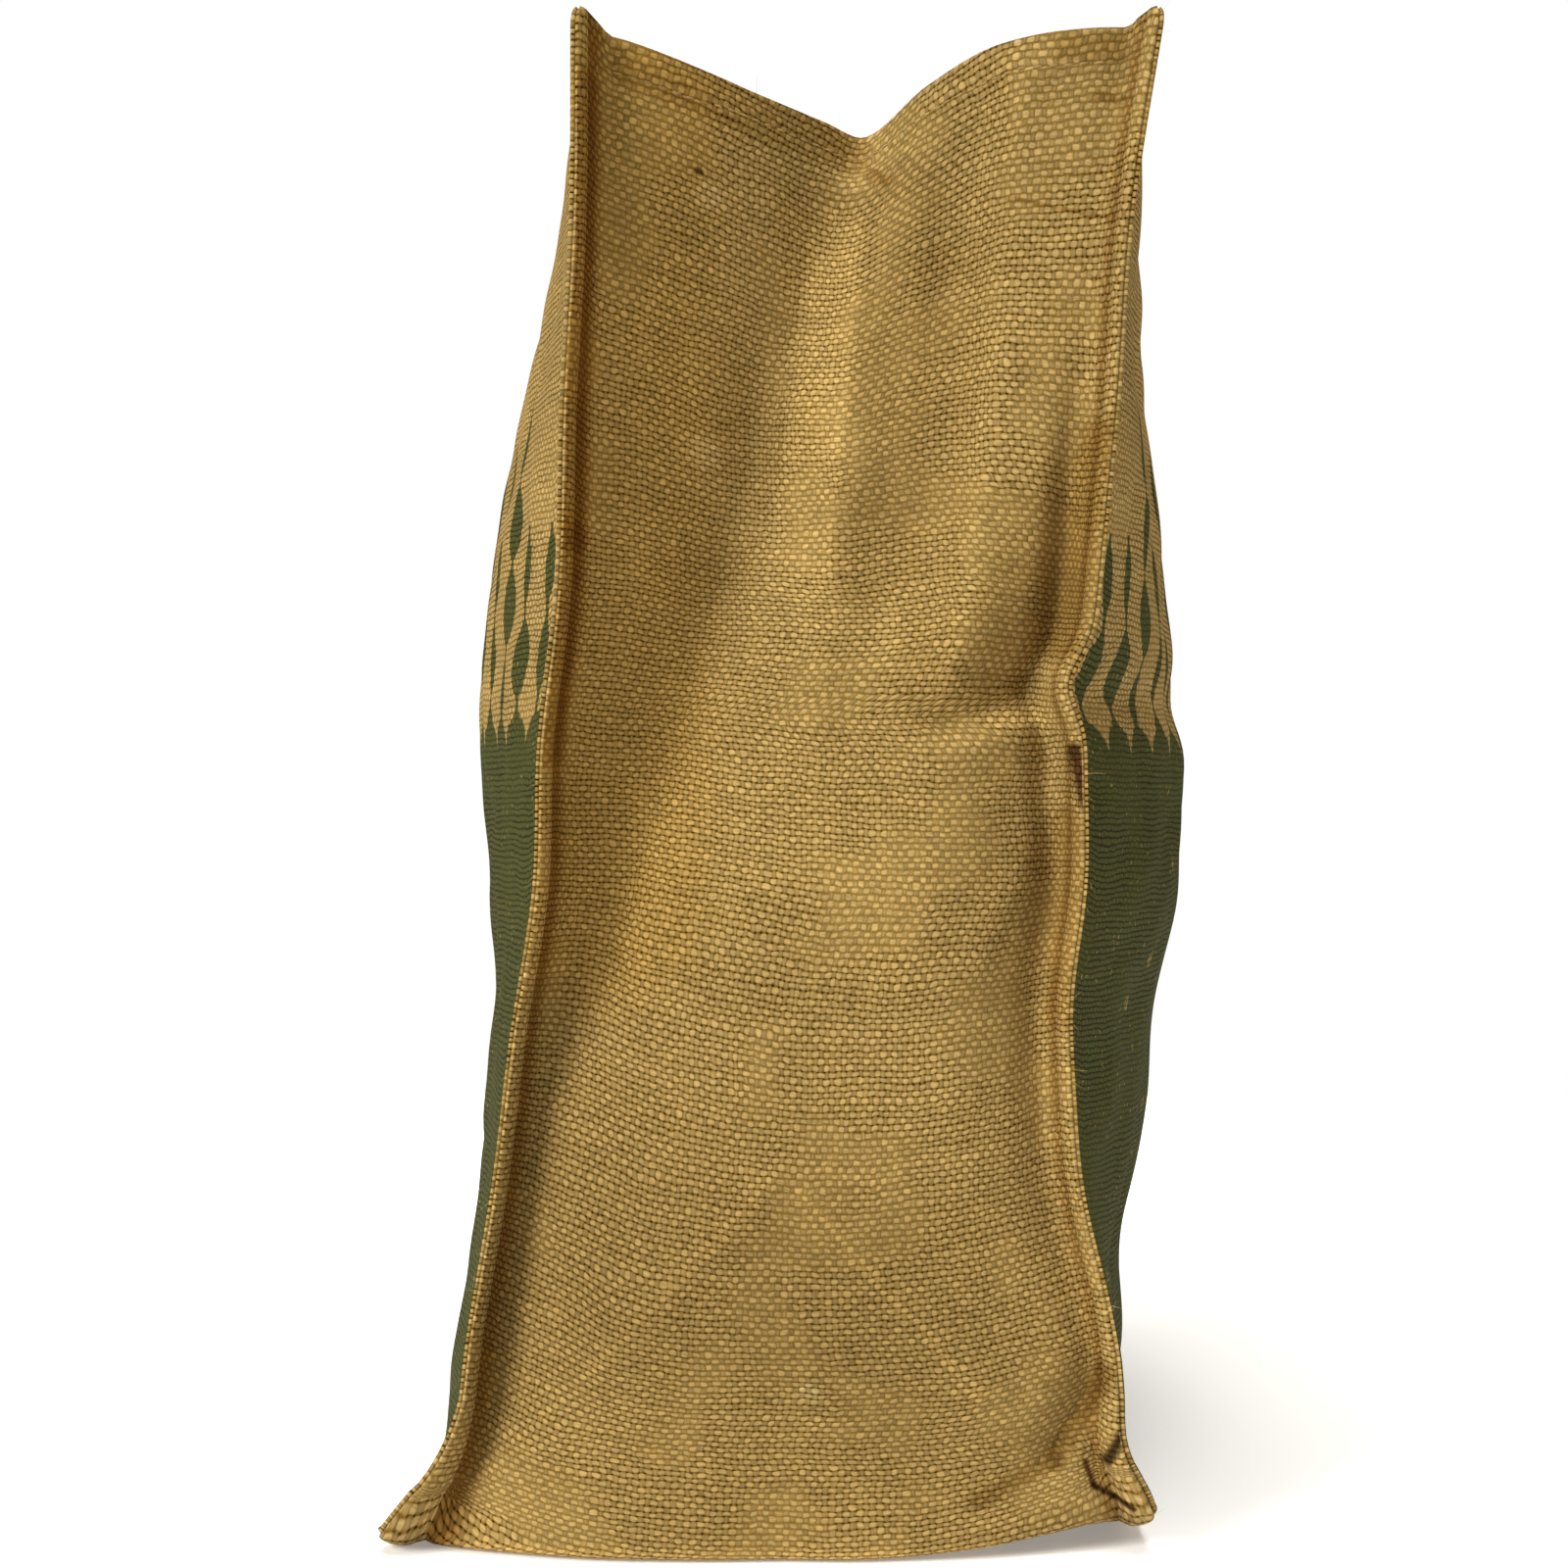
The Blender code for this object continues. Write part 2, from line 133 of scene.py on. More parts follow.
def floor_disc():
    """Rings of points about Z: point = (r cos a, r sin a, 0), closed by small faces at the middle."""
    radius = FLOOR_RADIUS * np.linspace(0, 1, FLOOR_RINGS) ** 2
    around = np.linspace(0, 2 * np.pi, FLOOR_SPOKES)
    x, y = radius[:, None] * np.cos(around), radius[:, None] * np.sin(around)
    points = np.stack([x, y, np.full(x.shape, -FLOOR_DROP)], axis=-1).reshape(-1, 3)
    return new_mesh_object("studio_floor", points, grid_faces(len(radius), len(around))[:, ::-1])


def plain_material(name, colour, roughness):
    """One colour and one roughness all over."""
    material = bpy.data.materials.new(name)
    material.use_nodes = True
    shader = material.node_tree.nodes["Principled BSDF"]
    shader.inputs["Base Color"].default_value = colour
    shader.inputs["Roughness"].default_value = roughness
    return material


studio_floor = floor_disc()
pale_paper = plain_material("pale_paper", FLOOR_COLOUR, 1.0)
paper_shader = pale_paper.node_tree.nodes["Principled BSDF"]
paper_shader.inputs["Emission Color"].default_value = FLOOR_COLOUR
paper_shader.inputs["Emission Strength"].default_value = FLOOR_GLOW
studio_floor.data.materials.append(pale_paper)
print("floor: a disc", 2 * FLOOR_RADIUS, "m across, with a glow of", FLOOR_GLOW)

# %% Lights
# name, degrees left of the camera's side, degrees up, strength, width in degrees, colour
LIGHTS = (
    ("main_light", 46, 28, 3.2, 26, (1.0, 0.99, 0.97)),
    ("top_light", 5, 80, 2.4, 34, (1.0, 0.99, 0.97)),
    ("side_light", -80, 35, 0.3, 40, (1.0, 0.92, 0.75)),
    ("back_light", 190, 70, 0.25, 50, (1.0, 1.0, 1.0)),
)
WORLD_COLOUR = (1.0, 0.9, 0.68, 1.0)
WORLD_STRENGTH = 0.20
LIGHT_DISTANCE = 2.0  # only where a sun's marker is drawn: its light is the same at any distance


def towards_light(left, up):
    """The unit vector that points at a light: (-sin left cos up, -cos left cos up, sin up)."""
    left, up = np.radians(left), np.radians(up)
    return np.array((-np.sin(left) * np.cos(up), -np.cos(left) * np.cos(up), np.sin(up)))


for name, left, up, strength, width, colour in LIGHTS:
    sun = bpy.data.objects.new(name, bpy.data.lights.new(name, "SUN"))
    bpy.context.scene.collection.objects.link(sun)
    sun.data.energy = strength
    sun.data.angle = np.radians(width)
    sun.data.color = colour
    sun.location = LIGHT_DISTANCE * towards_light(left, up)
    sun.rotation_euler = sun.location.to_track_quat("Z", "Y").to_euler()
    print("light:", name, [round(value, 2) for value in sun.location])

world = bpy.data.worlds.new("paper_backdrop")
world.use_nodes = True
sky = world.node_tree
lighting = sky.nodes["Background"]
lighting.inputs["Strength"].default_value = WORLD_STRENGTH
lighting.inputs["Color"].default_value = WORLD_COLOUR
backdrop = sky.nodes.new("ShaderNodeBackground")
backdrop.inputs["Color"].default_value = (1.0, 1.0, 1.0, 1.0)
seen = sky.nodes.new("ShaderNodeLightPath")
chosen = sky.nodes.new("ShaderNodeMixShader")
sky.links.new(seen.outputs["Is Camera Ray"], chosen.inputs["Fac"])
sky.links.new(lighting.outputs["Background"], chosen.inputs[1])
sky.links.new(backdrop.outputs["Background"], chosen.inputs[2])
sky.links.new(chosen.outputs["Shader"], sky.nodes["World Output"].inputs["Surface"])
bpy.context.scene.world = world
bpy.context.scene.view_settings.view_transform = "Standard"

# %% [markdown]
# ## The bag's sizes
#
# A bag like this is cut from three pieces: two broad panels, and one long strip that is the first narrow
# side, the base and the other narrow side. The sheets here have the sizes and the main folds that the solids
# have, so the same short tables describe both. The X of each panel is given at the near seam, at mid length
# and at the far seam, for a few heights. A second table says how far the near narrow side is folded in.

# %% Sizes
CLOTH = 1.5 * MM  # thickness of the plain cloth
HEM_CLOTH = 2.7 * MM  # thickness of a turned hem
SEAM_GAP = 0.3 * MM  # between the two cloths along a seam
HEM_DEPTH = 13.0 * MM
WELT = 7.5 * MM  # how far a welt stands out from its stitched line
WELT_LEAN = 14.0  # degrees from the bag's length towards its side
EAR_DROOP = 0.1  # an ear's fall towards the floor against its width

BAG_LENGTH = 420.0 * MM  # from the near seams to the far ones
BAG_HEIGHT = 454.0 * MM
BOTTOM_RADIUS = 20.0 * MM  # of the seams' bend from a narrow side into the base
SEAM_DRAW_IN = 6.0 * MM  # how far the bulging panels pull the upright seams towards the middle
TIP_RISE = 3.5 * MM  # how far each top corner stands above the hems beside it
TIP_SHARE_SIDE, TIP_SHARE_PANEL = 0.04, 0.025  # the share of each hem over which it drops from the corner
MOUTH_SAG = 4.0 * MM  # how far the panels' hems sag between the corners
EDGE_DIP = 0.5  # the narrow sides' top edge sinks by this share of what it is folded in
FAR_FOLD = 0.85  # depth of the far side's fold against the near one's
CORNER_LIFT = 9.0 * MM  # the front panel's near bottom corner stands off the floor
CORNER_LIFT_REACH = 85.0 * MM  # how far from that corner the cloth still rises
BASE_WAVE = 1.2 * MM  # the base's long seams run a little uneven
PANEL_ROUNDNESS = 2.1  # power of a panel's bulge from seam to seam: 2 is an arc, more is flatter
PANEL_CREASE_FADE = 1 / 6  # share of a panel's length over which its creases fade beside each seam

# How the two layers of a seam lie on the floor: the strip's layer below, the panel's above.
STRIP_LEVEL = CLOTH / 2
SEAM_LEVEL = CLOTH + SEAM_GAP / 2
HALF_SEAM = (CLOTH + SEAM_GAP) / 2

# Millimetres. X of each panel at the near seam, at mid length and at the far seam, up the bag.
SECTION_COLUMNS = ("height", "back_near", "back_mid", "back_far", "front_near", "front_mid", "front_far")
SECTIONS = (
    (0, -103, -103, -103, 105, 105, 105),
    (12, -98.5, -104, -97, 104.5, 107, 103),
    (30, -91.5, -104, -92, 103, 112, 101),
    (67, -85.5, -99, -86, 97.5, 116, 98),
    (110, -78.5, -94, -78, 89, 126, 95),
    (152, -73.5, -91, -72, 88.5, 133, 95),
    (195, -67, -94, -66, 91.5, 140, 96),
    (238, -65.5, -98, -63, 91, 142, 97),
    (281, -60.5, -97, -60, 94.5, 136, 98),
    (338, -58.5, -87, -56, 100, 128, 100),
    (395, -55.5, -72, -52, 104, 121, 102),
    (454, -55, -59, -48, 113, 118, 104),
)
INSET_SHARES = (0, 0.08, 0.25, 0.35, 0.42, 0.50, 0.62, 0.72, 0.80, 0.90, 0.96, 1)
INSETS = (
    # height, then how far the near side is folded in at each share of its width between the two seams
    (0, -4, -12, -13, -13, -12, -13, -11, -9, -4, -1.5),
    (30, -2, -12, -13.5, -14, -13, -14, -13, -11, -5, -2),
    (67, 0, -9, -10, -11, -11, -11, -10, -8, -3, 0),
    (110, 0, -4, -6, -7, -7, -8, -9, -8, -2, 2),
    (152, 5, 1, -1, -3, -4, -7, -10, -10, -2, 4),
    (195, 13, 8, 5, 3, 1, -3, -8, -6, 2, 7),
    (238, 15, 22, 18, 15, 12, 9, 3, 3, 9, 13),
    (281, 14, 30, 27, 22, 17, 17, 12, 9, 15, 20),
    (310, 13.5, 31.5, 34, 28, 21, 21.5, 19, 12, 11, 14),
    (338, 13, 33, 40, 33, 25, 25.5, 24, 16, 9, 8),
    (395, 11, 29, 37, 42, 37, 32, 31, 20, 10, 5),
    (454, 8, 25, 35, 42, 50, 26, 10.5, 5, 2, 1),
)
# Places where the near front seam is nipped in: height, half height, push towards the back.
SEAM_NIPS = (
    (256, 11, 6),
    (165, 30, 2.5),
    (27, 16, 5),
)
# The ears: how far each stands out, how far it spreads up its seam (both mm), and its turn in degrees.
EARS = {
    ("back", "near"): (15, 17, 64),
    ("front", "near"): (12.5, 40, 46),
    ("back", "far"): (14, 17, 56),
    ("front", "far"): (15, 17, 62),
}
EAR_SPREAD_ALONG = 13.0 * MM  # how far an ear spreads along the base
# A welt turns into the direction of its ear over these lengths, down its seam and along the base.
WELT_TURN_UP, WELT_TURN_ALONG = 42.0 * MM, 34.0 * MM
SIGNS = {"back": -1.0, "front": 1.0}
print("the bag in mm: length", round(BAG_LENGTH / MM), "height", round(BAG_HEIGHT / MM))

# %% [markdown]
# ## Creases
#
# Cloth shows its stiffness in its creases. Each one here is a soft trough or ridge along a straight line,
# given one by one: its two ends, its half width on either side and how deep it is. The solids have most of
# them as well, softer and wider. Only the sheet has the finest: the pucker along the base to the front ear,
# the roll beside that ear and the slit under it, and the lean of the back half's hem. The groove beside each
# seam is made with the strip, further down.

# %% Tables of creases
# Millimetres: name, then ends as (across, height), half width on the left and on the right of the way from
# the first end to the second, and push into the bag (out where negative).
NEAR_CREASES = (
    ("valley of the dent", 52, 243, 95, 259, 30, 9, 11),
    ("ridge below the dent", 49, 237, 93, 248, 9, 12, -4),
    ("pocket beside the front seam", 87, 230, 86, 192, 14, 14, 5),
    ("upper edge of the front hollow", 84, 222, 62, 176, 20, 10, -3),
    ("base fold, back leg", 4, 112, -73, 32, 12, 12, -1.2),
    ("base fold, front leg", 4, 112, 64, 52, 12, 12, -1.2),
    ("pucker above the front ear", 100, 54, 84, 27, 5, 12, 7),
    ("pucker along the base to the front ear", 84, 27, 58, 16, 5, 12, 4),
    ("roll beside the front ear", 104, 60, 91, 24, 6, 5, -4),
    ("slit under the front ear", 92, 30, 98, 18, 3, 3, 7),
    ("back fold line, upper part", 19, 414, -14, 290, 12, 24, 5),
    ("back fold line, lower part", -14, 290, -57, 146, 12, 24, 5),
    ("middle fold line, upper part", 29, 430, 24, 320, 32, 10, -3),
    ("middle fold line, lower part", 24, 320, 12, 235, 32, 10, -3),
    ("front fold line, upper part", 75, 440, 70, 355, 15, 11, -5),
    ("front fold line, lower part", 70, 355, 54, 256, 15, 11, -5),
    ("hem of the back half, leaning out", -56, 456, 26, 428, 13, 13, -3),
)
PANEL_CREASES = (
    # ends as (along the bag, height)
    ("fold from the near seam's nip", -196, 249, -90, 215, 26, 26, 3),
    ("fold from the near hem", -185, 400, -105, 330, 30, 30, 3),
    ("fold from the near ear", -190, 30, -110, 95, 28, 28, 4),
    ("fold from the far ear", 190, 30, 105, 90, 30, 30, 4),
    ("fold from the far hem", 185, 410, 90, 330, 32, 32, 3),
    ("slack across the middle", -30, 118, 95, 150, 34, 34, 3),
)
print("creases on the near side:", len(NEAR_CREASES), "and on each panel:", len(PANEL_CREASES))


# %% Curves through the tables
def smooth_through(x, knots, values):
    """A cubic through the knots, whose slope at each knot follows its neighbours.

    values holds a number or a row of numbers for each knot, and x may be an array of any shape.
    """
    knots, values = np.asarray(knots, float), np.asarray(values, float)
    x = np.asarray(x, float)
    slopes = np.gradient(values, knots, axis=0)
    left = np.clip(np.searchsorted(knots, x) - 1, 0, len(knots) - 2)
    span = knots[left + 1] - knots[left]
    t = (np.clip(x, knots[0], knots[-1]) - knots[left]) / span
    if values.ndim > 1:
        span, t = span[..., None], t[..., None]
    ease = t * t * (3 - 2 * t)
    start = t * (1 - t) ** 2 * span * slopes[left]
    end = -t * t * (1 - t) * span * slopes[left + 1]
    return values[left] * (1 - ease) + values[left + 1] * ease + start + end


def smooth_across(shares, knots, rows):
    """The same cubic, through a row of values of its own at each point (the last axis of rows)."""
    knots = np.asarray(knots, float)
    slopes = np.gradient(rows, knots, axis=-1)
    left = np.clip(np.searchsorted(knots, shares) - 1, 0, len(knots) - 2)
    span = knots[left + 1] - knots[left]
    t = (shares - knots[left]) / span

    def pick(table, index):
        """The entry of each row at that row's own index."""
        return np.take_along_axis(table, index[..., None], axis=-1)[..., 0]

    ease = t * t * (3 - 2 * t)
    start = t * (1 - t) ** 2 * span * pick(slopes, left)
    end = -t * t * (1 - t) * span * pick(slopes, left + 1)
    return pick(rows, left) * (1 - ease) + pick(rows, left + 1) * ease + start + end


def section(column, height):
    """The X of one named column of SECTIONS at each height, in metres."""
    table = np.array(SECTIONS, float) * MM
    return smooth_through(height, table[:, 0], table[:, SECTION_COLUMNS.index(column)])


def inset(share, height):
    """How far the near side is folded in at each share of its width and each height."""
    table = np.array(INSETS, float) * MM
    share, height = np.broadcast_arrays(share, height)
    inner = smooth_through(height, table[:, 0], table[:, 1:])
    ends = np.zeros(height.shape + (1,))
    return smooth_across(share, INSET_SHARES, np.concatenate([ends, inner, ends], axis=-1))


print("the near side is folded in by", round(float(inset(0.5, BAG_HEIGHT)) / MM), "mm at the mouth")


# %% Helpers for creases, fades and the lifted corner
def crease_push(creases, across, height):
    """The sum of a list of creases: each is depth x (1 - distance / half width) to the power 1.5.

    The half width goes over smoothly from that of one side to that of the other round the ends.
    """
    push = np.zeros(np.broadcast(across, height).shape)
    for _, x0, z0, x1, z1, left, right, depth in creases:
        line = np.array((x1 - x0, z1 - z0)) * MM
        from_x, from_z = across - x0 * MM, height - z0 * MM
        along = np.clip((from_x * line[0] + from_z * line[1]) / (line @ line), 0, 1)
        away = np.hypot(from_x - along * line[0], from_z - along * line[1])
        on_left = (from_z * line[0] - from_x * line[1]) / np.hypot(*line) / np.maximum(away, MM / 1000)
        half_width = MM * ((left + right) / 2 + (left - right) / 2 * np.clip(on_left, -1, 1))
        push += depth * MM * np.clip(1 - away / half_width, 0, 1) ** 1.5
    return push


def ramp(share, width):
    """Rises from 0 at either end of a run to 1 over this share of it."""
    return np.clip(np.minimum(share, 1 - share) / width, 0, 1)


def lift(points):
    """Raises each point by lift (1 - distance to the corner / reach)^2, which fades with its height."""
    corner = np.array((section("front_near", 0), -BAG_LENGTH / 2))
    reach = np.linalg.norm(points[..., :2] - corner, axis=-1) / CORNER_LIFT_REACH
    fade_up = np.clip(1 - points[..., 2] / (2 * CORNER_LIFT_REACH), 0, 1)
    raised = points.copy()
    raised[..., 2] += CORNER_LIFT * np.clip(1 - reach, 0, 1) ** 2 * fade_up
    return raised


def unit(vectors):
    """Each vector divided by its length."""
    return vectors / np.linalg.norm(vectors, axis=-1, keepdims=True)


# %% [markdown]
# ## The seams
#
# Each long seam runs down the near narrow side, round a bend, along the base and up the far side. The bag is
# sewn inside out and turned, and then stitched again a little way in from the edge. That makes the seam
# stand out as a soft round welt with no raw edge showing, and at each bottom corner two welts meet in an
# ear. A seam is worked out once here, as rows of points, and the cloths on both of its sides are hung on it.

# %% How the rows are spaced
ROW_STEP = 3.0 * MM
HEM_ROW_STEP = 1.2 * MM
BEND_STEPS = 12


def steps(start, stop, size):
    """Even steps from start to stop, of about this size."""
    return np.linspace(start, stop, round(abs(stop - start) / size) + 1)


BEND_TOP = SEAM_LEVEL + BOTTOM_RADIUS
HEM_ROWS = steps(BAG_HEIGHT, BAG_HEIGHT - HEM_DEPTH, HEM_ROW_STEP)
BELOW_HEM = steps(BAG_HEIGHT - HEM_DEPTH - HEM_ROW_STEP, BEND_TOP, ROW_STEP)
UPRIGHT = np.concatenate([HEM_ROWS, BELOW_HEM])
TURNS = np.linspace(0, np.pi / 2, BEND_STEPS + 1)[1:-1]
BASE_SHARES = steps(0, 1, ROW_STEP / (BAG_LENGTH - 2 * BOTTOM_RADIUS))
CORNER_ROW = len(UPRIGHT) - 1 + BEND_STEPS // 2  # the row at the middle of the bend, counted from the top
print("rows down a side:", len(UPRIGHT), "in a bend:", len(TURNS), "along the base:", len(BASE_SHARES))

# %% Rows along a seam
Seam = collections.namedtuple("Seam", "flat line welt step width run eared")


def seam_nip(height):
    """The sum of the nips: push exp(-((height - place) / half height)^2)."""
    return sum(push * MM * np.exp(-(((height / MM - at) / half) ** 2)) for at, half, push in SEAM_NIPS)


def upright_points(side, end):
    """One upright seam and its bend, from the top down."""
    height = np.concatenate([UPRIGHT, SEAM_LEVEL + BOTTOM_RADIUS * (1 - np.sin(TURNS))])
    back = np.concatenate([np.zeros(len(UPRIGHT)), BOTTOM_RADIUS * (1 - np.cos(TURNS))])
    bent = np.concatenate([np.zeros(len(UPRIGHT)), np.ones(len(TURNS))])
    x = section(f"{side}_{end}", height - SEAM_LEVEL * bent)
    if (side, end) == ("front", "near"):
        x = x - seam_nip(height)
    draw_in = SEAM_DRAW_IN * np.sin(np.pi * np.clip(height / BAG_HEIGHT, 0, 1)) ** 2
    outward = {"near": -1.0, "far": 1.0}[end]
    return np.stack([x, outward * (BAG_LENGTH / 2 - draw_in - back), height], axis=-1)


def base_points(side):
    """The seam along the base, a little uneven: two thirds of a sine wave that fades at both ends."""
    wave = BASE_WAVE * np.sin(3 * np.pi * BASE_SHARES) * np.sin(np.pi * BASE_SHARES)
    x = section(f"{side}_near", 0) + SIGNS[side] * wave
    y = (BAG_LENGTH / 2 - BOTTOM_RADIUS) * (2 * BASE_SHARES - 1)
    return np.stack([x, y, np.full(len(y), SEAM_LEVEL)], axis=-1)


def seam_path(side):
    """Rows along one long seam: points, the welt's direction and width, and the way to the strip's layer.

    The welt's direction turns from outwards, beside the narrow side, to sideways at the base. Its width is
    that of a welt plus an ear's extra times exp(-(distance to the corner / spread)^2).
    """
    sign = SIGNS[side]
    near, far = upright_points(side, "near"), upright_points(side, "far")
    points = np.concatenate([near, base_points(side), far[::-1]])
    run = np.concatenate([[0], np.cumsum(np.linalg.norm(np.diff(points, axis=0), axis=1))])
    on_near = np.arange(len(points)) < len(points) / 2
    above = np.where(on_near, run[CORNER_ROW] - run, run - run[len(points) - 1 - CORNER_ROW])

    turned, eared, width = np.zeros(len(points)), np.zeros(len(points)), np.zeros(len(points))
    for end, rows in (("near", on_near), ("far", ~on_near)):
        ear, spread_up, ear_turn = EARS[side, end]
        knots = (-WELT_TURN_ALONG, 0.0, WELT_TURN_UP)
        turned[rows] = smooth_through(above[rows], knots, np.radians((90.0, ear_turn, WELT_LEAN)))
        spread = np.where(above[rows] > 0, spread_up * MM, EAR_SPREAD_ALONG)
        eared[rows] = np.exp(-((above[rows] / spread) ** 2))
        width[rows] = WELT + (ear * MM - WELT) * eared[rows]
    outward = np.where(on_near, -1.0, 1.0)
    droop = EAR_DROOP * eared * (above >= 0)
    welt = unit(np.stack([sign * np.sin(turned), outward * np.cos(turned), -droop], axis=-1))
    line = lift(points)
    step = unit(sign * np.cross(np.gradient(line, axis=0), welt))
    return Seam(points, line, welt, step, width, run, eared)


seams = {side: seam_path(side) for side in SIGNS}
ROWS = len(seams["back"].line)
print("rows along each seam:", ROWS, "length in mm:", round(seams["back"].run[-1] / MM))

# %% [markdown]
# ## Round welts
#
# Each cloth's seam margin is half of a round bead: it leaves the stitched line pinched against its
# neighbour, swells, and curls over to meet the other cloth near the welt's outer edge. Its cross-section is
# nearly a quarter of an ellipse. A bead could be a tube laid along the seam, but the weave has to run on
# over it without a break, so it is part of each cloth's own grid.

# %% Welt cross-section
WELT_COLUMNS = 7
WELT_CURL = np.radians(80.0)  # how far round the ellipse a margin goes: 90 would close the bead
WELT_PUFF = 1.75 * MM  # how far the cloth's middle stands off the seam's plane where the welt is thickest
EAR_PUFF = 3.4 * MM  # the same, at an ear
PINCHED_SHARE = 0.4  # the share of the welt's width over which it swells from the stitching
TIP_TAPER = 6.0 * MM  # the welt's top end is rounded over this length
END_WIDTH, END_PUFF = 0.55, 0.6  # the shares of its width and its puff that are left at that end


def welt_layer(seam, towards):
    """The margin's points (rows, WELT_COLUMNS, 3), from beside the stitched line to the outer edge.

    out = width sin(angle) / sin(curl) and off = puff cos(angle), eased from the pinched stitching.
    towards is 1 for the strip's layer and -1 for the panel's. Along the base the floor flattens the bead.
    """
    share = np.arange(1, WELT_COLUMNS + 1) / WELT_COLUMNS
    angle = share * WELT_CURL
    from_end = np.minimum(seam.run, seam.run[-1] - seam.run)
    rounding = np.sqrt(1 - np.clip(1 - from_end / TIP_TAPER, 0, 1) ** 2)
    width = seam.width * (END_WIDTH + (1 - END_WIDTH) * rounding)
    puff = (WELT_PUFF + (EAR_PUFF - WELT_PUFF) * seam.eared) * (END_PUFF + (1 - END_PUFF) * rounding)
    swollen = np.clip(share / PINCHED_SHARE, 0, 1)
    swollen = swollen * swollen * (3 - 2 * swollen)
    out = (width[:, None] * np.sin(angle) / np.sin(WELT_CURL))[..., None]
    off = (HALF_SEAM * (1 - swollen) + puff[:, None] * np.cos(angle) * swollen)[..., None]
    layer = seam.line[:, None] + seam.welt[:, None] * out + towards * seam.step[:, None] * off
    layer[..., 2] = np.maximum(layer[..., 2], STRIP_LEVEL)
    return layer


print("welt in mm: width", round(WELT / MM, 1), "thickness about", round((2 * WELT_PUFF + CLOTH) / MM, 1))

# %% [markdown]
# ## The strip
#
# The strip is a grid: one row for each row of the seams, and one column for each share of the way from the
# back seam to the front seam. On the narrow sides each point is moved in by the fold's depth at its place,
# and on the base the rows spread to meet the bulge of each side's bottom edge.

# %% Sizes of the strip and its small folds
COLUMN_STEP = 3.0 * MM
STRIP_WIDTH = 208.0 * MM  # between the seams, flat
# The groove beside each upright seam: how far from the seam it is deepest, and how deep.
GROOVES = {"back": (4.5 * MM, 8.0 * MM), "front": (3.5 * MM, 4.0 * MM)}
GROOVE_FADE = 30 * MM  # grooves and ripples fade in over this height above the floor
RIPPLE = 0.35 * MM
RIPPLE_LENGTHS = (25, 31, 38, 47, 58, 70)  # mm
RIPPLE_UNIT = 47  # mm: the wave of this length has a height of 1, and the others are in proportion
RIPPLE_SEEDS = {"strip": 3, "back": 5, "front": 8}
RIPPLE_FADE = 0.1  # share of a cloth's width over which the ripples fade beside each seam
HEM_STITCH_DROP = 11.5 * MM  # the hem's row of stitches lies this far below the edge, in a trough of its own
HEM_TROUGH, HEM_TROUGH_WIDTH = 0.7 * MM, 1.5 * MM
SIDE_CREASE_FADE = 0.3  # power by which the near side's creases fade towards its seams
SQUARER = 0.15  # the strip bends under the bag more sharply than its seams do: 1 would be a round bend
STRIP_SHARES = steps(0, 1, COLUMN_STEP / STRIP_WIDTH)
print("columns of the strip between its seams:", len(STRIP_SHARES))


# %% Small folds of the strip
def groove(side, distance):
    """A trough beside a seam: depth x (d / peak) exp(1 - d / peak), zero at the seam itself."""
    peak, depth = GROOVES[side]
    return depth * distance / peak * np.exp(1 - distance / peak)


def ripple(across, along, seed):
    """The slight unevenness of a limp cloth: a few sine waves in random directions, the longest the highest.

    The sum is divided by 3, so that it mostly stays between -1 and 1.
    """
    random = np.random.default_rng(seed)
    total = np.zeros(np.broadcast(across, along).shape)
    for length in RIPPLE_LENGTHS:
        direction, phase = random.uniform(0, 2 * np.pi, 2)
        wave = (across * np.cos(direction) + along * np.sin(direction)) / (length * MM)
        total += length / RIPPLE_UNIT * np.sin(2 * np.pi * wave + phase)
    return total / 3


def hem_trough(drop):
    """The stitches draw the hem in: a small trough at their distance below the edge."""
    return HEM_TROUGH * np.exp(-(((drop - HEM_STITCH_DROP) / HEM_TROUGH_WIDTH) ** 2))


def side_fold(end, share, height, x):
    """How far a narrow side is folded in; the far one is a plainer, shallower mirror of the near one."""
    if end == "far":
        return FAR_FOLD * inset(1 - share, height)
    clear_of_seams = np.sin(np.pi * share) ** SIDE_CREASE_FADE
    return inset(share, height) + crease_push(NEAR_CREASES, x, height) * clear_of_seams


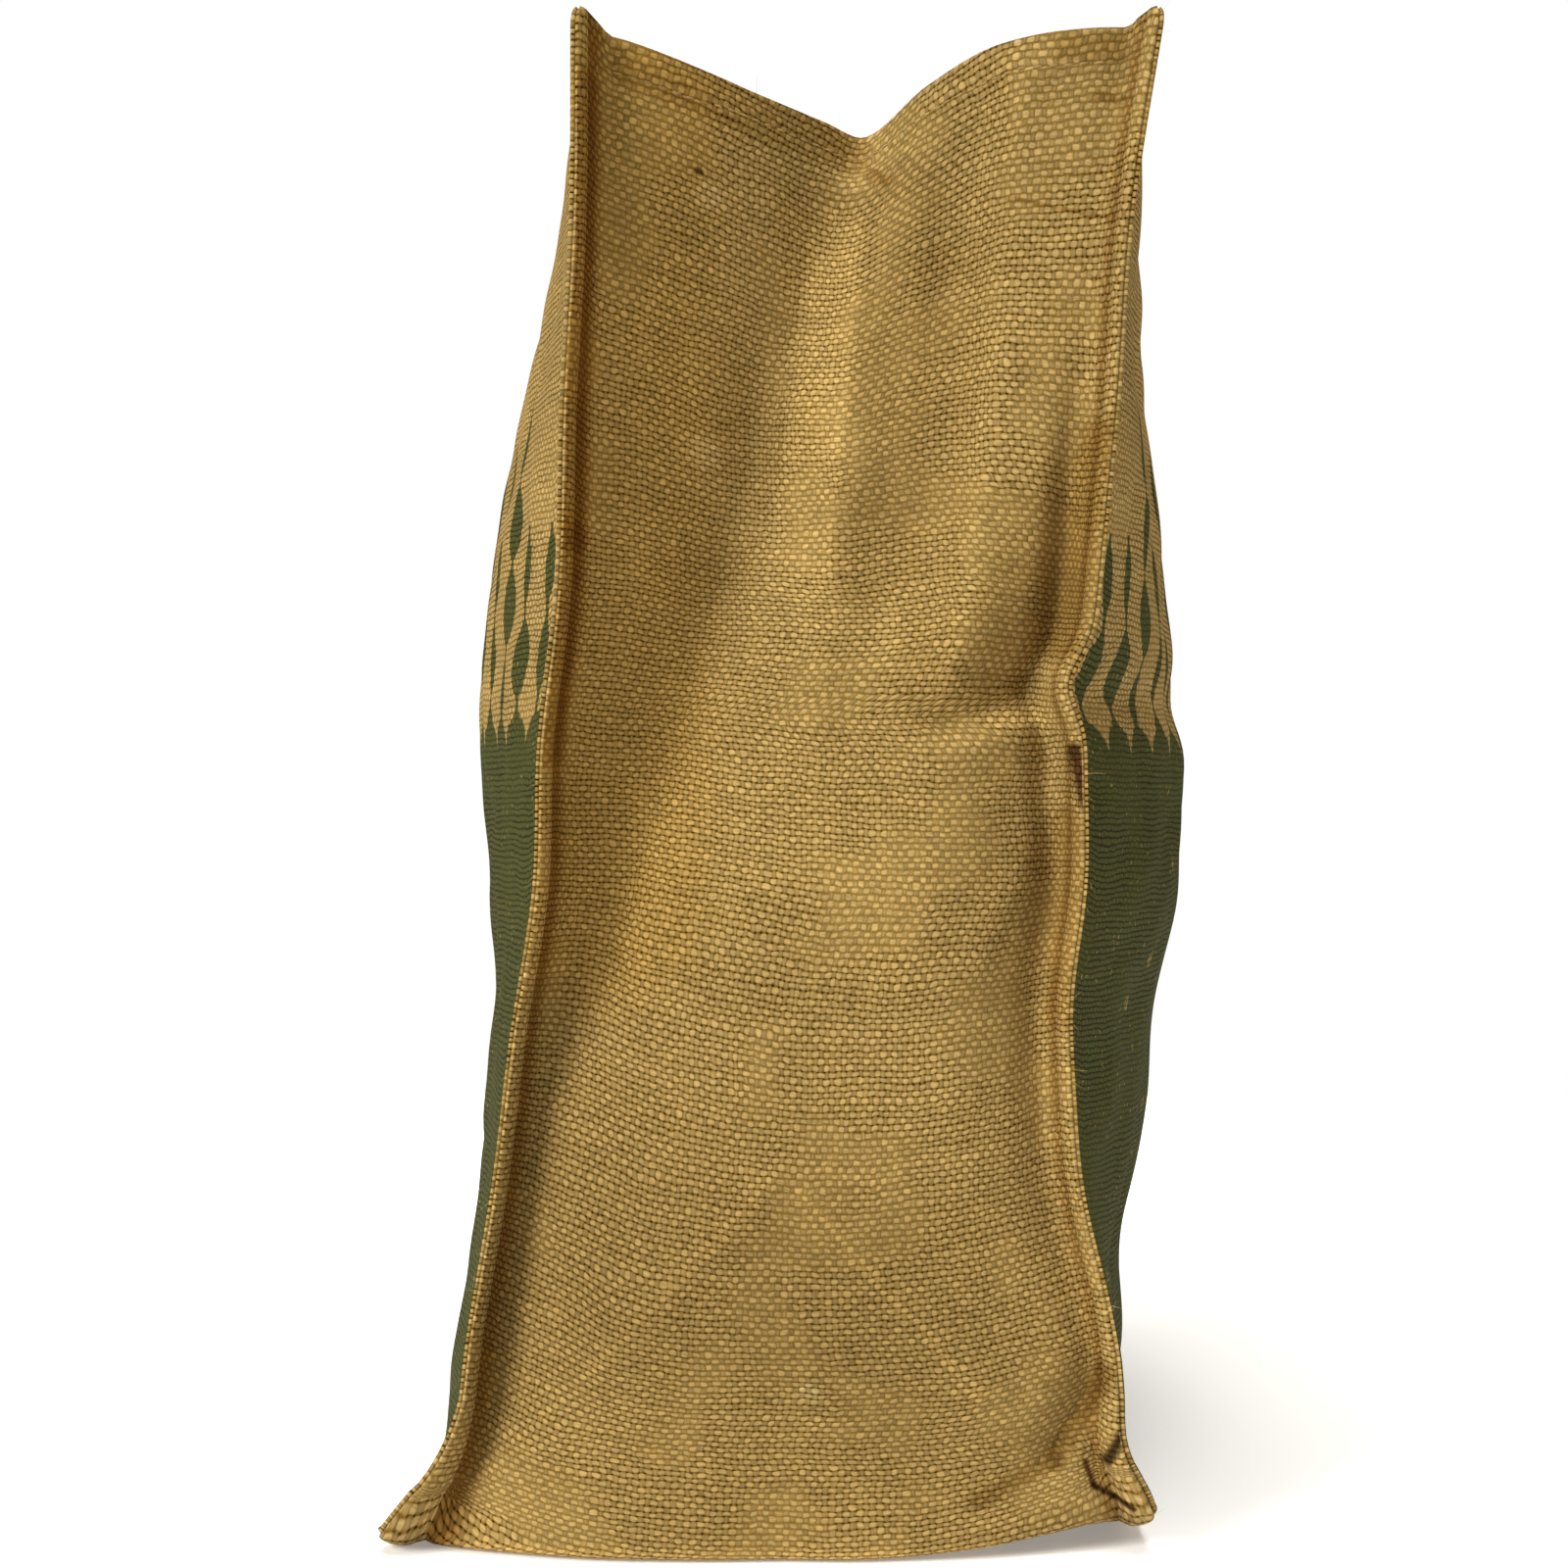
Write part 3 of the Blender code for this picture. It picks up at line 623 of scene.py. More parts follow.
# %% The strip between its seams
def strip_body():
    """The strip's points between its seams, (ROWS, columns, 3).

    Each starts at its share of the way from seam to seam. Three steps then move it: the bends under the bag
    become squarer, the narrow sides are folded in, and the base spreads to meet their bottom edges.
    """
    back, front = seams["back"], seams["front"]
    start = back.flat + back.step * HALF_SEAM
    stop = front.flat + front.step * HALF_SEAM
    share = STRIP_SHARES[None, :]
    points = start[:, None] + (stop - start)[:, None] * share[..., None]
    side_rows = len(UPRIGHT) + len(TURNS)
    row = np.arange(ROWS)
    from_top = np.minimum(row, ROWS - 1 - row)

    # The bends: out by R (cos^q - cos) and down by R (sin^q - sin) of the turn, where q is SQUARER.
    bend = (from_top >= len(UPRIGHT)) & (from_top < side_rows)
    inner = np.sin(np.pi * share) ** SIDE_CREASE_FADE
    turn = TURNS[from_top[bend] - len(UPRIGHT)][:, None]
    outward = np.where(row[bend] < ROWS / 2, -1.0, 1.0)[:, None]
    points[bend, :, 1] += outward * inner * BOTTOM_RADIUS * (np.cos(turn) ** SQUARER - np.cos(turn))
    points[bend, :, 2] -= inner * BOTTOM_RADIUS * (np.sin(turn) ** SQUARER - np.sin(turn))

    # The narrow sides: folds, grooves, ripples and the hem's trough push each point in, towards the middle.
    width = np.linalg.norm(stop - start, axis=1)[:, None]
    for end, rows in (("near", row < side_rows), ("far", row >= ROWS - side_rows)):
        block = points[rows]
        height = block[..., 2].copy()
        outward = {"near": -1.0, "far": 1.0}[end]
        fold = side_fold(end, share, height, block[..., 0])
        fade = np.clip(height / GROOVE_FADE, 0, 1)
        fold = fold + groove("back", share * width[rows]) * fade
        fold = fold + groove("front", (1 - share) * width[rows]) * fade
        waves = ripple(block[..., 0], height, RIPPLE_SEEDS["strip"])
        fold = fold + RIPPLE * waves * ramp(share, RIPPLE_FADE) * fade
        fold = fold + hem_trough(BAG_HEIGHT - height)
        block[..., 1] -= outward * fold
        # The top edge dips by EDGE_DIP of its fold, and the cloth under it by less, down to the middle.
        upper = np.clip(2 * height / BAG_HEIGHT - 1, 0, 1) * (from_top[rows] < len(UPRIGHT))[:, None]
        block[..., 2] -= EDGE_DIP * side_fold(end, share, BAG_HEIGHT, 0.0 * share) * upper**2
        # The corner tips stand above the hem: the drop starts at the hem and fades in the cloth under it.
        tip = np.clip(1 - (BAG_HEIGHT - height) / (2 * HEM_DEPTH), 0, 1)
        block[..., 2] -= TIP_RISE * ramp(share, TIP_SHARE_SIDE) * tip
        points[rows] = block

    # The base: its rows spread with the square of their share of the way to each end.
    base = (row >= side_rows) & (row < ROWS - side_rows)
    along = BASE_SHARES[:, None]
    near_bulge = -side_fold("near", share, 0.0 * share, 0.0 * share)
    far_bulge = -side_fold("far", share, 0.0 * share, 0.0 * share)
    points[base, :, 1] += far_bulge * along**2 - near_bulge * (1 - along) ** 2
    points[base, :, 2] = STRIP_LEVEL
    points = lift(points)
    points[:, 0] = back.line + back.step * HALF_SEAM
    points[:, -1] = front.line + front.step * HALF_SEAM
    return points


# %% [markdown]
# ## Hanging rows
#
# The rows of yarn don't run level on a narrow side. From one seam they hang down towards the middle, and
# they rise again only a little towards the other. The shape of the cloth doesn't show that, so it is done in
# the UV map, which says where on the flat weave each point lies. A table gives how far the weft hangs below
# the grid's own rows.

# %% How the weave lies on the strip
SAG_SHARES = (0, 0.12, 0.3, 0.5, 0.75, 1)
WEFT_SAGS = (
    # height, then how far the weft hangs down at each share of the width, both in mm
    (0, 0, 6, 11, 13, 13, 12),
    (22, 0, 7, 13, 15, 15, 13),
    (62, 0, 8, 19, 21, 20, 15),
    (103, 0, 6, 16, 21, 19, 14),
    (143, 0, 3, 12, 18, 17, 11),
    (203, 0, 0.5, 5, 10, 12, 11),
    (243, 0, 0.5, 4, 8, 9, 9),
    (285, 0, 2, 7, 9, 7, 12),
    (330, 0, 3, 8, 9, 7, 11),
    (395, 0, 2, 5, 7, 3, 4),
    (454, 0, 0, 0, 0, 0, 0),
)


def row_sag(share, height):
    """How far the weft hangs below the grid's own rows at each share of the width and each height."""
    table = np.array(WEFT_SAGS, float) * MM
    share, height = np.broadcast_arrays(share, height)
    return smooth_across(share, SAG_SHARES, smooth_through(height, table[:, 0], table[:, 1:]))


print("the weft hangs", round(float(row_sag(0.5, BAG_HEIGHT / 4)) / MM), "mm low at a quarter of the height")


# %% A cloth's mesh, UV map and thickness
def cloth_object(name, points, faces, across, along, hem):
    """A cloth's middle surface as an object, with its own UV map in metres and its thickness."""
    cloth = new_mesh_object(name, points, faces)
    uv = cloth.data.uv_layers.new(name="cloth")
    corner_points = np.zeros(len(cloth.data.loops), np.int32)
    cloth.data.loops.foreach_get("vertex_index", corner_points)
    uv.data.foreach_set("uv", np.stack([across, along], axis=-1)[corner_points].astype(np.float32).ravel())
    group = cloth.vertex_groups.new(name="hem")
    group.add(np.flatnonzero(hem).tolist(), 1.0, "REPLACE")
    thick = cloth.modifiers.new("cloth_thickness", "SOLIDIFY")
    thick.thickness = HEM_CLOTH
    thick.offset = 0.0
    thick.use_even_offset = True
    thick.use_quality_normals = True
    thick.vertex_group = "hem"
    thick.thickness_vertex_group = CLOTH / HEM_CLOTH
    thick.material_offset = 1
    thick.material_offset_rim = 1
    return cloth


def margin_lengths(layer, first):
    """How far each point of a margin lies from the stitched line, along the cloth."""
    path = np.concatenate([first[:, None], layer], axis=1)
    return np.cumsum(np.linalg.norm(np.diff(path, axis=1), axis=-1), axis=1)


# %% Strip mesh
def make_strip():
    """The strip with both its margins. Its UV map is the way across it and the way down it, less the sag."""
    body = strip_body()
    back, front = welt_layer(seams["back"], 1), welt_layer(seams["front"], 1)
    points = np.concatenate([back[:, ::-1], body, front], axis=1)
    rows, columns = points.shape[:2]
    lengths = np.cumsum(np.linalg.norm(np.diff(body, axis=1), axis=-1), axis=1)
    lengths = np.concatenate([np.zeros((rows, 1)), lengths], axis=1)
    inner = (lengths / lengths[:, -1:] - 0.5) * STRIP_WIDTH
    left = -STRIP_WIDTH / 2 - margin_lengths(back, body[:, 0])[:, ::-1]
    right = STRIP_WIDTH / 2 + margin_lengths(front, body[:, -1])
    across = np.concatenate([left, inner, right], axis=1)
    middle = points[:, columns // 3]
    run = np.concatenate([[0], np.cumsum(np.linalg.norm(np.diff(middle, axis=0), axis=1))])
    share = np.clip(across / STRIP_WIDTH + 0.5, 0, 1)
    near = np.arange(rows)[:, None] < rows / 2
    sag = row_sag(np.where(near, share, 1 - share), np.clip(points[..., 2], 0, BAG_HEIGHT))
    along = run[:, None] - np.where(near, sag, -sag)
    from_top = np.minimum(np.arange(rows), rows - 1 - np.arange(rows))
    in_body = (np.arange(columns) >= WELT_COLUMNS + 1) & (np.arange(columns) < columns - WELT_COLUMNS - 1)
    hem = (from_top < len(HEM_ROWS))[:, None] & in_body[None]
    faces = grid_faces(rows, columns)[:, ::-1]
    flat = points.reshape(-1, 3)
    strip = cloth_object("strip_cloth", flat, faces, across.ravel(), along.ravel(), hem.ravel())
    return strip, points, run[-1]


strip, strip_points, strip_length = make_strip()
print("strip: points", strip_points.shape[:2], "length in mm", round(strip_length / MM))

# %% [markdown]
# ## The two panels
#
# A broad panel hangs between its three seams and its own top hem. The grid is a patch that blends its four
# edges, and then it bulges, because the standing bag is a little slack. Soft folds run in from the corners.

# %% Panels between their seams
PANEL_RIPPLE = 0.8 * MM
PANEL_RIPPLE_FADE_UP = 0.08  # share of a panel's height over which its ripples fade by the hem and the base
PUCKER_PITCH = 11.0 * MM  # the stitches pucker the cloth beside the seams, once in each of these
PUCKER = 0.35 * MM
PUCKER_REACH = 9.0 * MM
PUCKER_FADE_ALONG, PUCKER_FADE_UP = 0.01, 0.02  # shares of the length and height: none at the seam itself


def panel_body(side, path):
    """A patch between four edges: across + rising - corners, then the bulge and the creases."""
    sign = SIGNS[side]
    layer = path.flat - path.step * HALF_SEAM
    near, far = layer[CORNER_ROW::-1], layer[ROWS - 1 - CORNER_ROW :]
    bottom = layer[CORNER_ROW : ROWS - CORNER_ROW]
    along = ((bottom[:, 1] - bottom[0, 1]) / (bottom[-1, 1] - bottom[0, 1]))[None, :, None]
    up = ((near[:, 2] - near[0, 2]) / (near[-1, 2] - near[0, 2]))[:, None, None]
    top = near[-1] + along[0] * (far[-1] - near[-1])
    across = (1 - along) * near[:, None] + along * far[:, None]
    rising = (1 - up) * bottom[None] + up * top[None]
    corners = (1 - up) * ((1 - along) * near[0] + along * far[0])
    corners = corners + up * ((1 - along) * near[-1] + along * far[-1])
    points = across + rising - corners

    along, up, height = along[..., 0], up[..., 0], points[..., 2]
    line = (section(f"{side}_near", height) + section(f"{side}_far", height)) / 2
    bulge = (section(f"{side}_mid", height) - line) * (1 - np.abs(2 * along - 1) ** PANEL_ROUNDNESS)
    inside = (up > 0) * 1.0
    fade = ramp(along, PANEL_CREASE_FADE) * (1 - up**4) * inside
    creases = crease_push(PANEL_CREASES, points[..., 1], height) * fade
    soft = PANEL_RIPPLE * ripple(points[..., 1], height, RIPPLE_SEEDS[side]) * ramp(along, RIPPLE_FADE)
    soft *= ramp(up, PANEL_RIPPLE_FADE_UP)
    from_seam = np.minimum(np.minimum(along, 1 - along) * BAG_LENGTH, np.clip(height, 0, None))
    pucker = PUCKER * np.sin(2 * np.pi * height / PUCKER_PITCH) * np.exp(-from_seam / PUCKER_REACH)
    pucker *= ramp(along, PUCKER_FADE_ALONG) * ramp(up, PUCKER_FADE_UP)
    points[..., 0] += bulge * inside - sign * (creases + soft + pucker)
    sag = TIP_RISE * ramp(along, TIP_SHARE_PANEL) + MOUTH_SAG * np.sin(np.pi * along) ** 2
    points[..., 2] -= sag * up**3
    points = lift(points)
    seam = path.line - path.step * HALF_SEAM
    points[:, 0] = seam[CORNER_ROW::-1]
    points[:, -1] = seam[ROWS - 1 - CORNER_ROW :]
    points[0] = seam[CORNER_ROW : ROWS - CORNER_ROW]
    return points


# %% Panel meshes
HEM_CLEAR_COLUMNS = 2  # a hem's thicker cloth ends this many columns short of the seams


def make_panel(side):
    """The patch, and a welt layer all round its three seams that shares the patch's edge points."""
    path = seams[side]
    body = panel_body(side, path)
    rows, columns = body.shape[:2]
    index = np.arange(rows * columns).reshape(rows, columns)
    rim = np.concatenate([index[:0:-1, 0], index[0], index[1:, -1]])
    margin = welt_layer(path, -1)

    along_bag = np.cumsum(np.r_[0, np.linalg.norm(np.diff(body[rows // 2], axis=0), axis=1)])
    up_bag = np.cumsum(np.r_[0, np.linalg.norm(np.diff(body[:, columns // 2], axis=0), axis=1)])
    across, along = np.meshgrid(along_bag, up_bag)
    flat_uv = np.stack([across.ravel(), along.ravel()], axis=-1)
    # The cloth runs on straight over the welt: sideways beside an upright seam, downwards under the base.
    first_far = ROWS - 1 - len(UPRIGHT) - len(TURNS)
    turn = np.zeros(ROWS)
    turn[len(UPRIGHT) : len(UPRIGHT) + len(TURNS)] = TURNS
    turn[len(UPRIGHT) + len(TURNS) : first_far + 1] = np.pi / 2
    turn[first_far + 1 : first_far + 1 + len(TURNS)] = TURNS[::-1]
    outward = np.where(np.arange(ROWS) < ROWS / 2, -1.0, 1.0)
    direction = np.stack([outward * np.cos(turn), -np.sin(turn)], axis=-1)
    lengths = margin_lengths(margin, body.reshape(-1, 3)[rim])
    margin_uv = flat_uv[rim][:, None] + direction[:, None] * lengths[..., None]

    points = np.concatenate([body.reshape(-1, 3), margin.reshape(-1, 3)])
    uv = np.concatenate([flat_uv, margin_uv.reshape(-1, 2)])
    welt_index = rows * columns + np.arange(ROWS * WELT_COLUMNS).reshape(ROWS, WELT_COLUMNS)
    lattice = np.concatenate([rim[:, None], welt_index], axis=1)
    welt_faces = np.stack([lattice[:-1, :-1], lattice[:-1, 1:], lattice[1:, 1:], lattice[1:, :-1]], axis=-1)
    faces = np.concatenate([grid_faces(rows, columns), welt_faces.reshape(-1, 4)])
    if side == "back":
        faces = faces[:, ::-1]
    hem = np.zeros(len(points))
    hem_rows = index[-len(HEM_ROWS) :, HEM_CLEAR_COLUMNS:-HEM_CLEAR_COLUMNS]
    hem[hem_rows.ravel()] = 1
    panel = cloth_object(f"{side}_cloth", points, faces, uv[:, 0], uv[:, 1], hem)
    return panel, body, (along_bag[-1], up_bag[-1])


panels = {side: make_panel(side) for side in SIGNS}
for side, (panel, body, flat) in panels.items():
    print(side, "panel: points", body.shape[:2], "flat size in mm", [round(value / MM) for value in flat])

# %% [markdown]
# ## Writing a material as formulas
#
# Burlap is a plain weave of rough jute yarns, with a small hole at every corner between them. An image would
# show it only at one size, so here the weave is worked out from the cloth's own UV map, which is in metres
# and follows the folds. A weave takes a lot of small sums, and wired by hand they would be hard to read. The
# class below lets a material be written as formulas: each operator adds one Math node.

# %% Formulas for materials
class Term:
    """A number that varies over a surface. An operator or a function on it adds one node."""

    def __init__(self, socket):
        self.socket = socket
        self.tree = socket.id_data

    def __add__(self, other):
        return compute("ADD", self, other)

    def __sub__(self, other):
        return compute("SUBTRACT", self, other)

    def __rsub__(self, other):
        return compute("SUBTRACT", other, self)

    def __mul__(self, other):
        return compute("MULTIPLY", self, other)

    def __truediv__(self, other):
        return compute("DIVIDE", self, other)

    __radd__, __rmul__ = __add__, __mul__


def feed(socket, value):
    """Links a term to a socket, or sets a plain value on it."""
    if isinstance(value, Term):
        value.tree.links.new(value.socket, socket)
    else:
        socket.default_value = value


def tree_of(terms):
    """The node tree that the terms belong to."""
    return next(term.tree for term in terms if isinstance(term, Term))


def compute(operation, *terms):
    """One Math node, fed with the terms."""
    node = tree_of(terms).nodes.new("ShaderNodeMath")
    node.operation = operation
    for socket, term in zip(node.inputs, terms):
        feed(socket, term)
    return Term(node.outputs[0])


# %% Functions on terms
def floor(term):
    """The whole number at or below the term."""
    return compute("FLOOR", term)


def size_of(term):
    """The term without its sign."""
    return compute("ABSOLUTE", term)


def higher(one, other):
    """The larger of the two at each place."""
    return compute("MAXIMUM", one, other)


def lower(one, other):
    """The smaller of the two at each place."""
    return compute("MINIMUM", one, other)


def eased(term, low, high):
    """0 up to low and 1 from high on, with a smooth step between them. Where low is above high, it falls."""
    node = term.tree.nodes.new("ShaderNodeMapRange")
    node.interpolation_type = "SMOOTHSTEP"
    feed(node.inputs["Value"], term)
    feed(node.inputs["From Min"], low)
    feed(node.inputs["From Max"], high)
    return Term(node.outputs[0])


def blended(share, one, other):
    """The first number where share is 0, the second where it is 1."""
    return one * (1.0 - share) + other * share


# %% Noise and colours from terms
def vector(x, y, z):
    """Three terms or numbers as one place."""
    node = tree_of((x, y, z)).nodes.new("ShaderNodeCombineXYZ")
    for socket, term in zip(node.inputs, (x, y, z)):
        feed(socket, term)
    return Term(node.outputs[0])


def noise(x, y, z, detail=0.0):
    """Soft noise between 0 and 1, whose lumps are about one unit of x, y and z wide."""
    place = vector(x, y, z)
    node = place.tree.nodes.new("ShaderNodeTexNoise")
    feed(node.inputs["Vector"], place)
    node.inputs["Scale"].default_value = 1.0
    node.inputs["Detail"].default_value = detail
    return Term(node.outputs[0])


def lot(x, y):
    """A number between 0 and 1 drawn for each value of x and y, with no likeness between neighbours."""
    place = vector(x, y, 0.0)
    node = place.tree.nodes.new("ShaderNodeTexWhiteNoise")
    feed(node.inputs["Vector"], place)
    return Term(node.outputs[0])


def mixed(share, one, other, way="MIX"):
    """Goes from one colour to the other as share goes to 1, or to their product if way is MULTIPLY."""
    node = share.tree.nodes.new("ShaderNodeMix")
    node.data_type, node.blend_type = "RGBA", way
    feed(node.inputs["Factor"], share)
    first, second = (socket for socket in node.inputs if socket.type == "RGBA")
    feed(first, one)
    feed(second, other)
    return Term(next(socket for socket in node.outputs if socket.type == "RGBA"))


def shades(term, stops):
    """A colour for each height: stops are pairs of a place between 0 and 1 and a colour."""
    node = term.tree.nodes.new("ShaderNodeValToRGB")
    feed(node.inputs["Fac"], term)
    ramp_stops = node.color_ramp.elements
    for number, (place, colour) in enumerate(stops):
        stop = ramp_stops[number] if number < len(ramp_stops) else ramp_stops.new(place)
        stop.position, stop.color = place, colour
    return Term(node.outputs["Color"])


def brightened(colour, factor):
    """A colour times a number."""
    node = colour.tree.nodes.new("ShaderNodeVectorMath")
    node.operation = "SCALE"
    feed(node.inputs[0], colour)
    feed(node.inputs["Scale"], factor)
    return Term(node.outputs[0])


# %% [markdown]
# ## The weave
#
# Two sets of yarns cross. Each yarn is round, and goes over and under the yarns that it crosses, so its
# height is a wave along it plus a low arch across it. Whichever set is higher at a place is the one that
# shows, and where neither is, there is a hole. Jute is an uneven fibre: each yarn has its own thickness and
# shade, thick and thin places along it, and it wanders a little from its line.

# %% Yarn sizes
WARP_PITCH, WEFT_PITCH = 1.95 * MM, 1.86 * MM  # the warp runs up the cloth, the weft across it
WARP_HALF, WEFT_HALF = 0.48, 0.40  # half widths of the yarns, in pitches
WARP_CRIMP, WEFT_CRIMP = 0.22, 0.32  # how far a yarn swings up and down, in pitches
WEFT_RAISED = 0.04  # the weft lies this much higher than the warp, in pitches
CROSSING_EDGE = 0.03  # half the difference in height over which one set's shade gives way to the other's
# The warp's lower brightness is painted shade, for a yarn that lies deeper.
WARP_TONE, WEFT_TONE = 0.72, 1.04  # brightness of the two sets: the warp lies deeper and looks darker
ROUNDNESS = 0.55  # height of the arch across a yarn, in pitches
DEEPEST = -0.35  # height of a hole, in pitches from the cloth's middle
YARN_WIDTHS = (0.86, 0.1, 0.36)  # share of the half width: the least, and what a yarn and a place on it add
SLUB_LENGTH = 5.0  # pitches from one thick place to the next, roughly
# The fibres' share of the brightness is partly their own colour and partly painted sheen.
YARN_TONES = (0.64, 0.1, 0.3, 0.7)  # brightness: the least, and what a yarn, its thick places and fibres add
# How the yarns wander, in pitches: how far, the size of the lumps across and up the cloth, and a seed.
WARP_BENDS = ((1.2, 14.0, 14.0, 3.1), (0.5, 2.2, 18.0, 5.7))
WEFT_BENDS = ((1.1, 12.0, 12.0, 9.4), (0.45, 9.0, 2.1, 1.3))
WARP_WOBBLE, WEFT_WOBBLE = (0.5, 1.3, 1.3, 6.2), (0.5, 1.3, 1.3, 2.6)
# In patches the yarns lie closer: the noise where that starts and its step, and the level of the gaps there.
CLOSED_FROM, CLOSED_STEP, CLOSED_LEVEL = 0.44, 0.16, 0.62
CLOSED_SIZE = 17.0  # pitches
# Where the cloth is pulled open and shows all its holes: middle across and down, and half sizes.
OPEN_PATCH = (-50 * MM, 215 * MM, 38 * MM, 190 * MM)
OPEN_EDGE = (0.75, 1.15)  # where that fades out, in half sizes
# Lying lower also makes the warp darker between the rows, through the painted shade of the colours by
# height.
SUNK_BETWEEN_ROWS, SUNK_FROM = 0.26, 0.22  # how much lower the warp lies this far from a weft yarn's middle
CROSSING_TONE = 0.2  # how much brightness differs from one crossing to the next
WEAVE_RELIEF = 0.65 * MM  # real height of the whole relief
INCH = 25.4 * MM
print("yarns to the inch: warp", round(INCH / WARP_PITCH, 1), "weft", round(INCH / WEFT_PITCH, 1))


# %% Yarns and weave
Weave = collections.namedtuple("Weave", "x u v level tone")


def yarns(across, along, half_width, crimp, seed):
    """One set of yarns, counted by across and running along, both in pitches.

    height = crimp wave (1.5 - 0.5 wave^2) + roundness (1 - (offset / half width)^2),
    where wave = (-1)^number sin(pi along). The bracket flattens the tops, so that they are long, not round.
    """
    number = floor(across)
    offset = across - number - 0.5
    own = lot(number, seed)
    slub = noise(along / SLUB_LENGTH, number * 1.7, seed)
    least, per_yarn, per_place = YARN_WIDTHS
    half = half_width * (least + per_yarn * own + per_place * slub)
    apart = offset / half
    disc = higher(1.0 - apart * apart, 0.0)
    wave = compute("COSINE", number * np.pi) * compute("SINE", along * np.pi)
    present = eased(size_of(apart), 1.05, 0.85)
    height = wave * (1.5 - 0.5 * wave * wave) * crimp + disc * ROUNDNESS
    # The fibres lie aslant along the twisted yarn, in streaks much longer than they are wide.
    # Their paler streaks are partly the fibres' own colour and partly painted sheen.
    fibre = noise(along * 0.9 - across * 1.7, across * 4.2, seed)
    least, per_yarn, per_place, per_fibre = YARN_TONES
    tone = least + per_yarn * own + per_place * (slub - 0.5) + per_fibre * fibre
    return blended(present, DEEPEST, height), tone


def wander(u, v, distance, long_u, long_v, seed):
    """Distance times noise, whose lumps are long_u by long_v pitches."""
    return distance * noise(u / long_u, v / long_v, seed)


def weave(place):
    """The weave at a place on the UV map: where it is in pitches, its height from 0 to 1 and its brightness.

    The height is that of the higher set of yarns. Level 0 is the bottom of a hole and 1 the highest top.
    """
    split = place.tree.nodes.new("ShaderNodeSeparateXYZ")
    feed(split.inputs[0], place)
    x, y = Term(split.outputs["X"]), Term(split.outputs["Y"])
    u, v = x / WARP_PITCH, y / WEFT_PITCH
    bend_u, bend_v = (wander(u, v, *one) + wander(u, v, *other) for one, other in (WARP_BENDS, WEFT_BENDS))
    wobble_u, wobble_v = wander(u, v, *WARP_WOBBLE), wander(u, v, *WEFT_WOBBLE)
    u, v = u + bend_u + wobble_u, v + bend_v + wobble_v
    weft, weft_tone = yarns(v, u, WEFT_HALF, WEFT_CRIMP, 2.0)
    warp, warp_tone = yarns(u, v, WARP_HALF, -WARP_CRIMP, 7.0)
    weft = weft + WEFT_RAISED
    on_top = eased(weft - warp, -CROSSING_EDGE, CROSSING_EDGE)
    tone = blended(on_top, warp_tone * WARP_TONE, weft_tone * WEFT_TONE)
    from_row = size_of(v - floor(v) - 0.5)
    warp = warp - SUNK_BETWEEN_ROWS * eased(from_row, SUNK_FROM, 0.5)
    level = eased(higher(weft, warp), DEEPEST, WEFT_CRIMP + ROUNDNESS)
    patches = noise(u / CLOSED_SIZE, v / CLOSED_SIZE, 8.8, 1.0)
    closed = eased(patches, CLOSED_FROM, CLOSED_FROM + CLOSED_STEP)
    across, down, half_width, half_height = OPEN_PATCH
    off_x, off_y = (x - across) / half_width, (y - down) / half_height
    closed = closed * eased(compute("SQRT", off_x * off_x + off_y * off_y), *OPEN_EDGE)
    level = higher(level, closed * CLOSED_LEVEL)
    tone = tone * (1.0 + CROSSING_TONE / 2 - CROSSING_TONE * lot(floor(u), floor(v)))
    return Weave(x, u, v, level, tone)


# %% Burlap
CLOTH_ROUGHNESS, CLOTH_SPECULAR = 0.8, 0.06
BUMP_STRENGTH = 0.6
PATCH_SIZE, PATCH_TONES = 26.0, (0.93, 1.07)  # pitches, and the brightness of darker and paler patches


def uv_place(tree):
    """The place on the cloth's own UV map, in metres."""
    node = tree.nodes.new("ShaderNodeUVMap")
    node.uv_map = "cloth"
    return Term(node.outputs[0])


# The colours darken towards the holes as painted shade, and the tops are paler partly as painted highlight.
JUTE_SHADES = (
    # height of the weave from its holes to its tops, and the colour there
    (0.0, (0.018, 0.007, 0.0008, 1.0)),
    (0.24, (0.070, 0.033, 0.0044, 1.0)),
    (0.44, (0.212, 0.124, 0.0225, 1.0)),
    (0.80, (0.306, 0.195, 0.0495, 1.0)),
    (1.0, (0.376, 0.261, 0.1050, 1.0)),
)


def jute_colour(cloth, tree):
    """The jute's colour from its height, times its yarns' own tone, and paler or darker patches.

    Its darkening towards the holes is painted shade, and its paler tops are partly painted highlight.
    """
    patch = eased(noise(cloth.u / PATCH_SIZE, cloth.v / PATCH_SIZE, 4.2, 1.0), 0.3, 0.7)
    return brightened(shades(cloth.level, JUTE_SHADES), cloth.tone * blended(patch, *PATCH_TONES))


def cloth_material(name, colour_of):
    """A matt cloth: colour_of turns the weave into a colour, and the weave's height becomes its relief."""
    material = bpy.data.materials.new(name)
    material.use_nodes = True
    tree = material.node_tree
    shader = tree.nodes["Principled BSDF"]
    shader.inputs["Roughness"].default_value = CLOTH_ROUGHNESS
    shader.inputs["Specular IOR Level"].default_value = CLOTH_SPECULAR
    cloth = weave(uv_place(tree))
    feed(shader.inputs["Base Color"], colour_of(cloth, tree))
    bump = tree.nodes.new("ShaderNodeBump")
    bump.inputs["Distance"].default_value = WEAVE_RELIEF
    bump.inputs["Strength"].default_value = BUMP_STRENGTH
    feed(bump.inputs["Height"], cloth.level)
    tree.links.new(bump.outputs["Normal"], shader.inputs["Normal"])
    print("material:", name, "with", len(tree.nodes), "nodes")
    return material


# The inside of every cloth and its cut edges, which the print and the marks don't reach.
burlap_reverse = cloth_material("burlap_reverse", jute_colour)
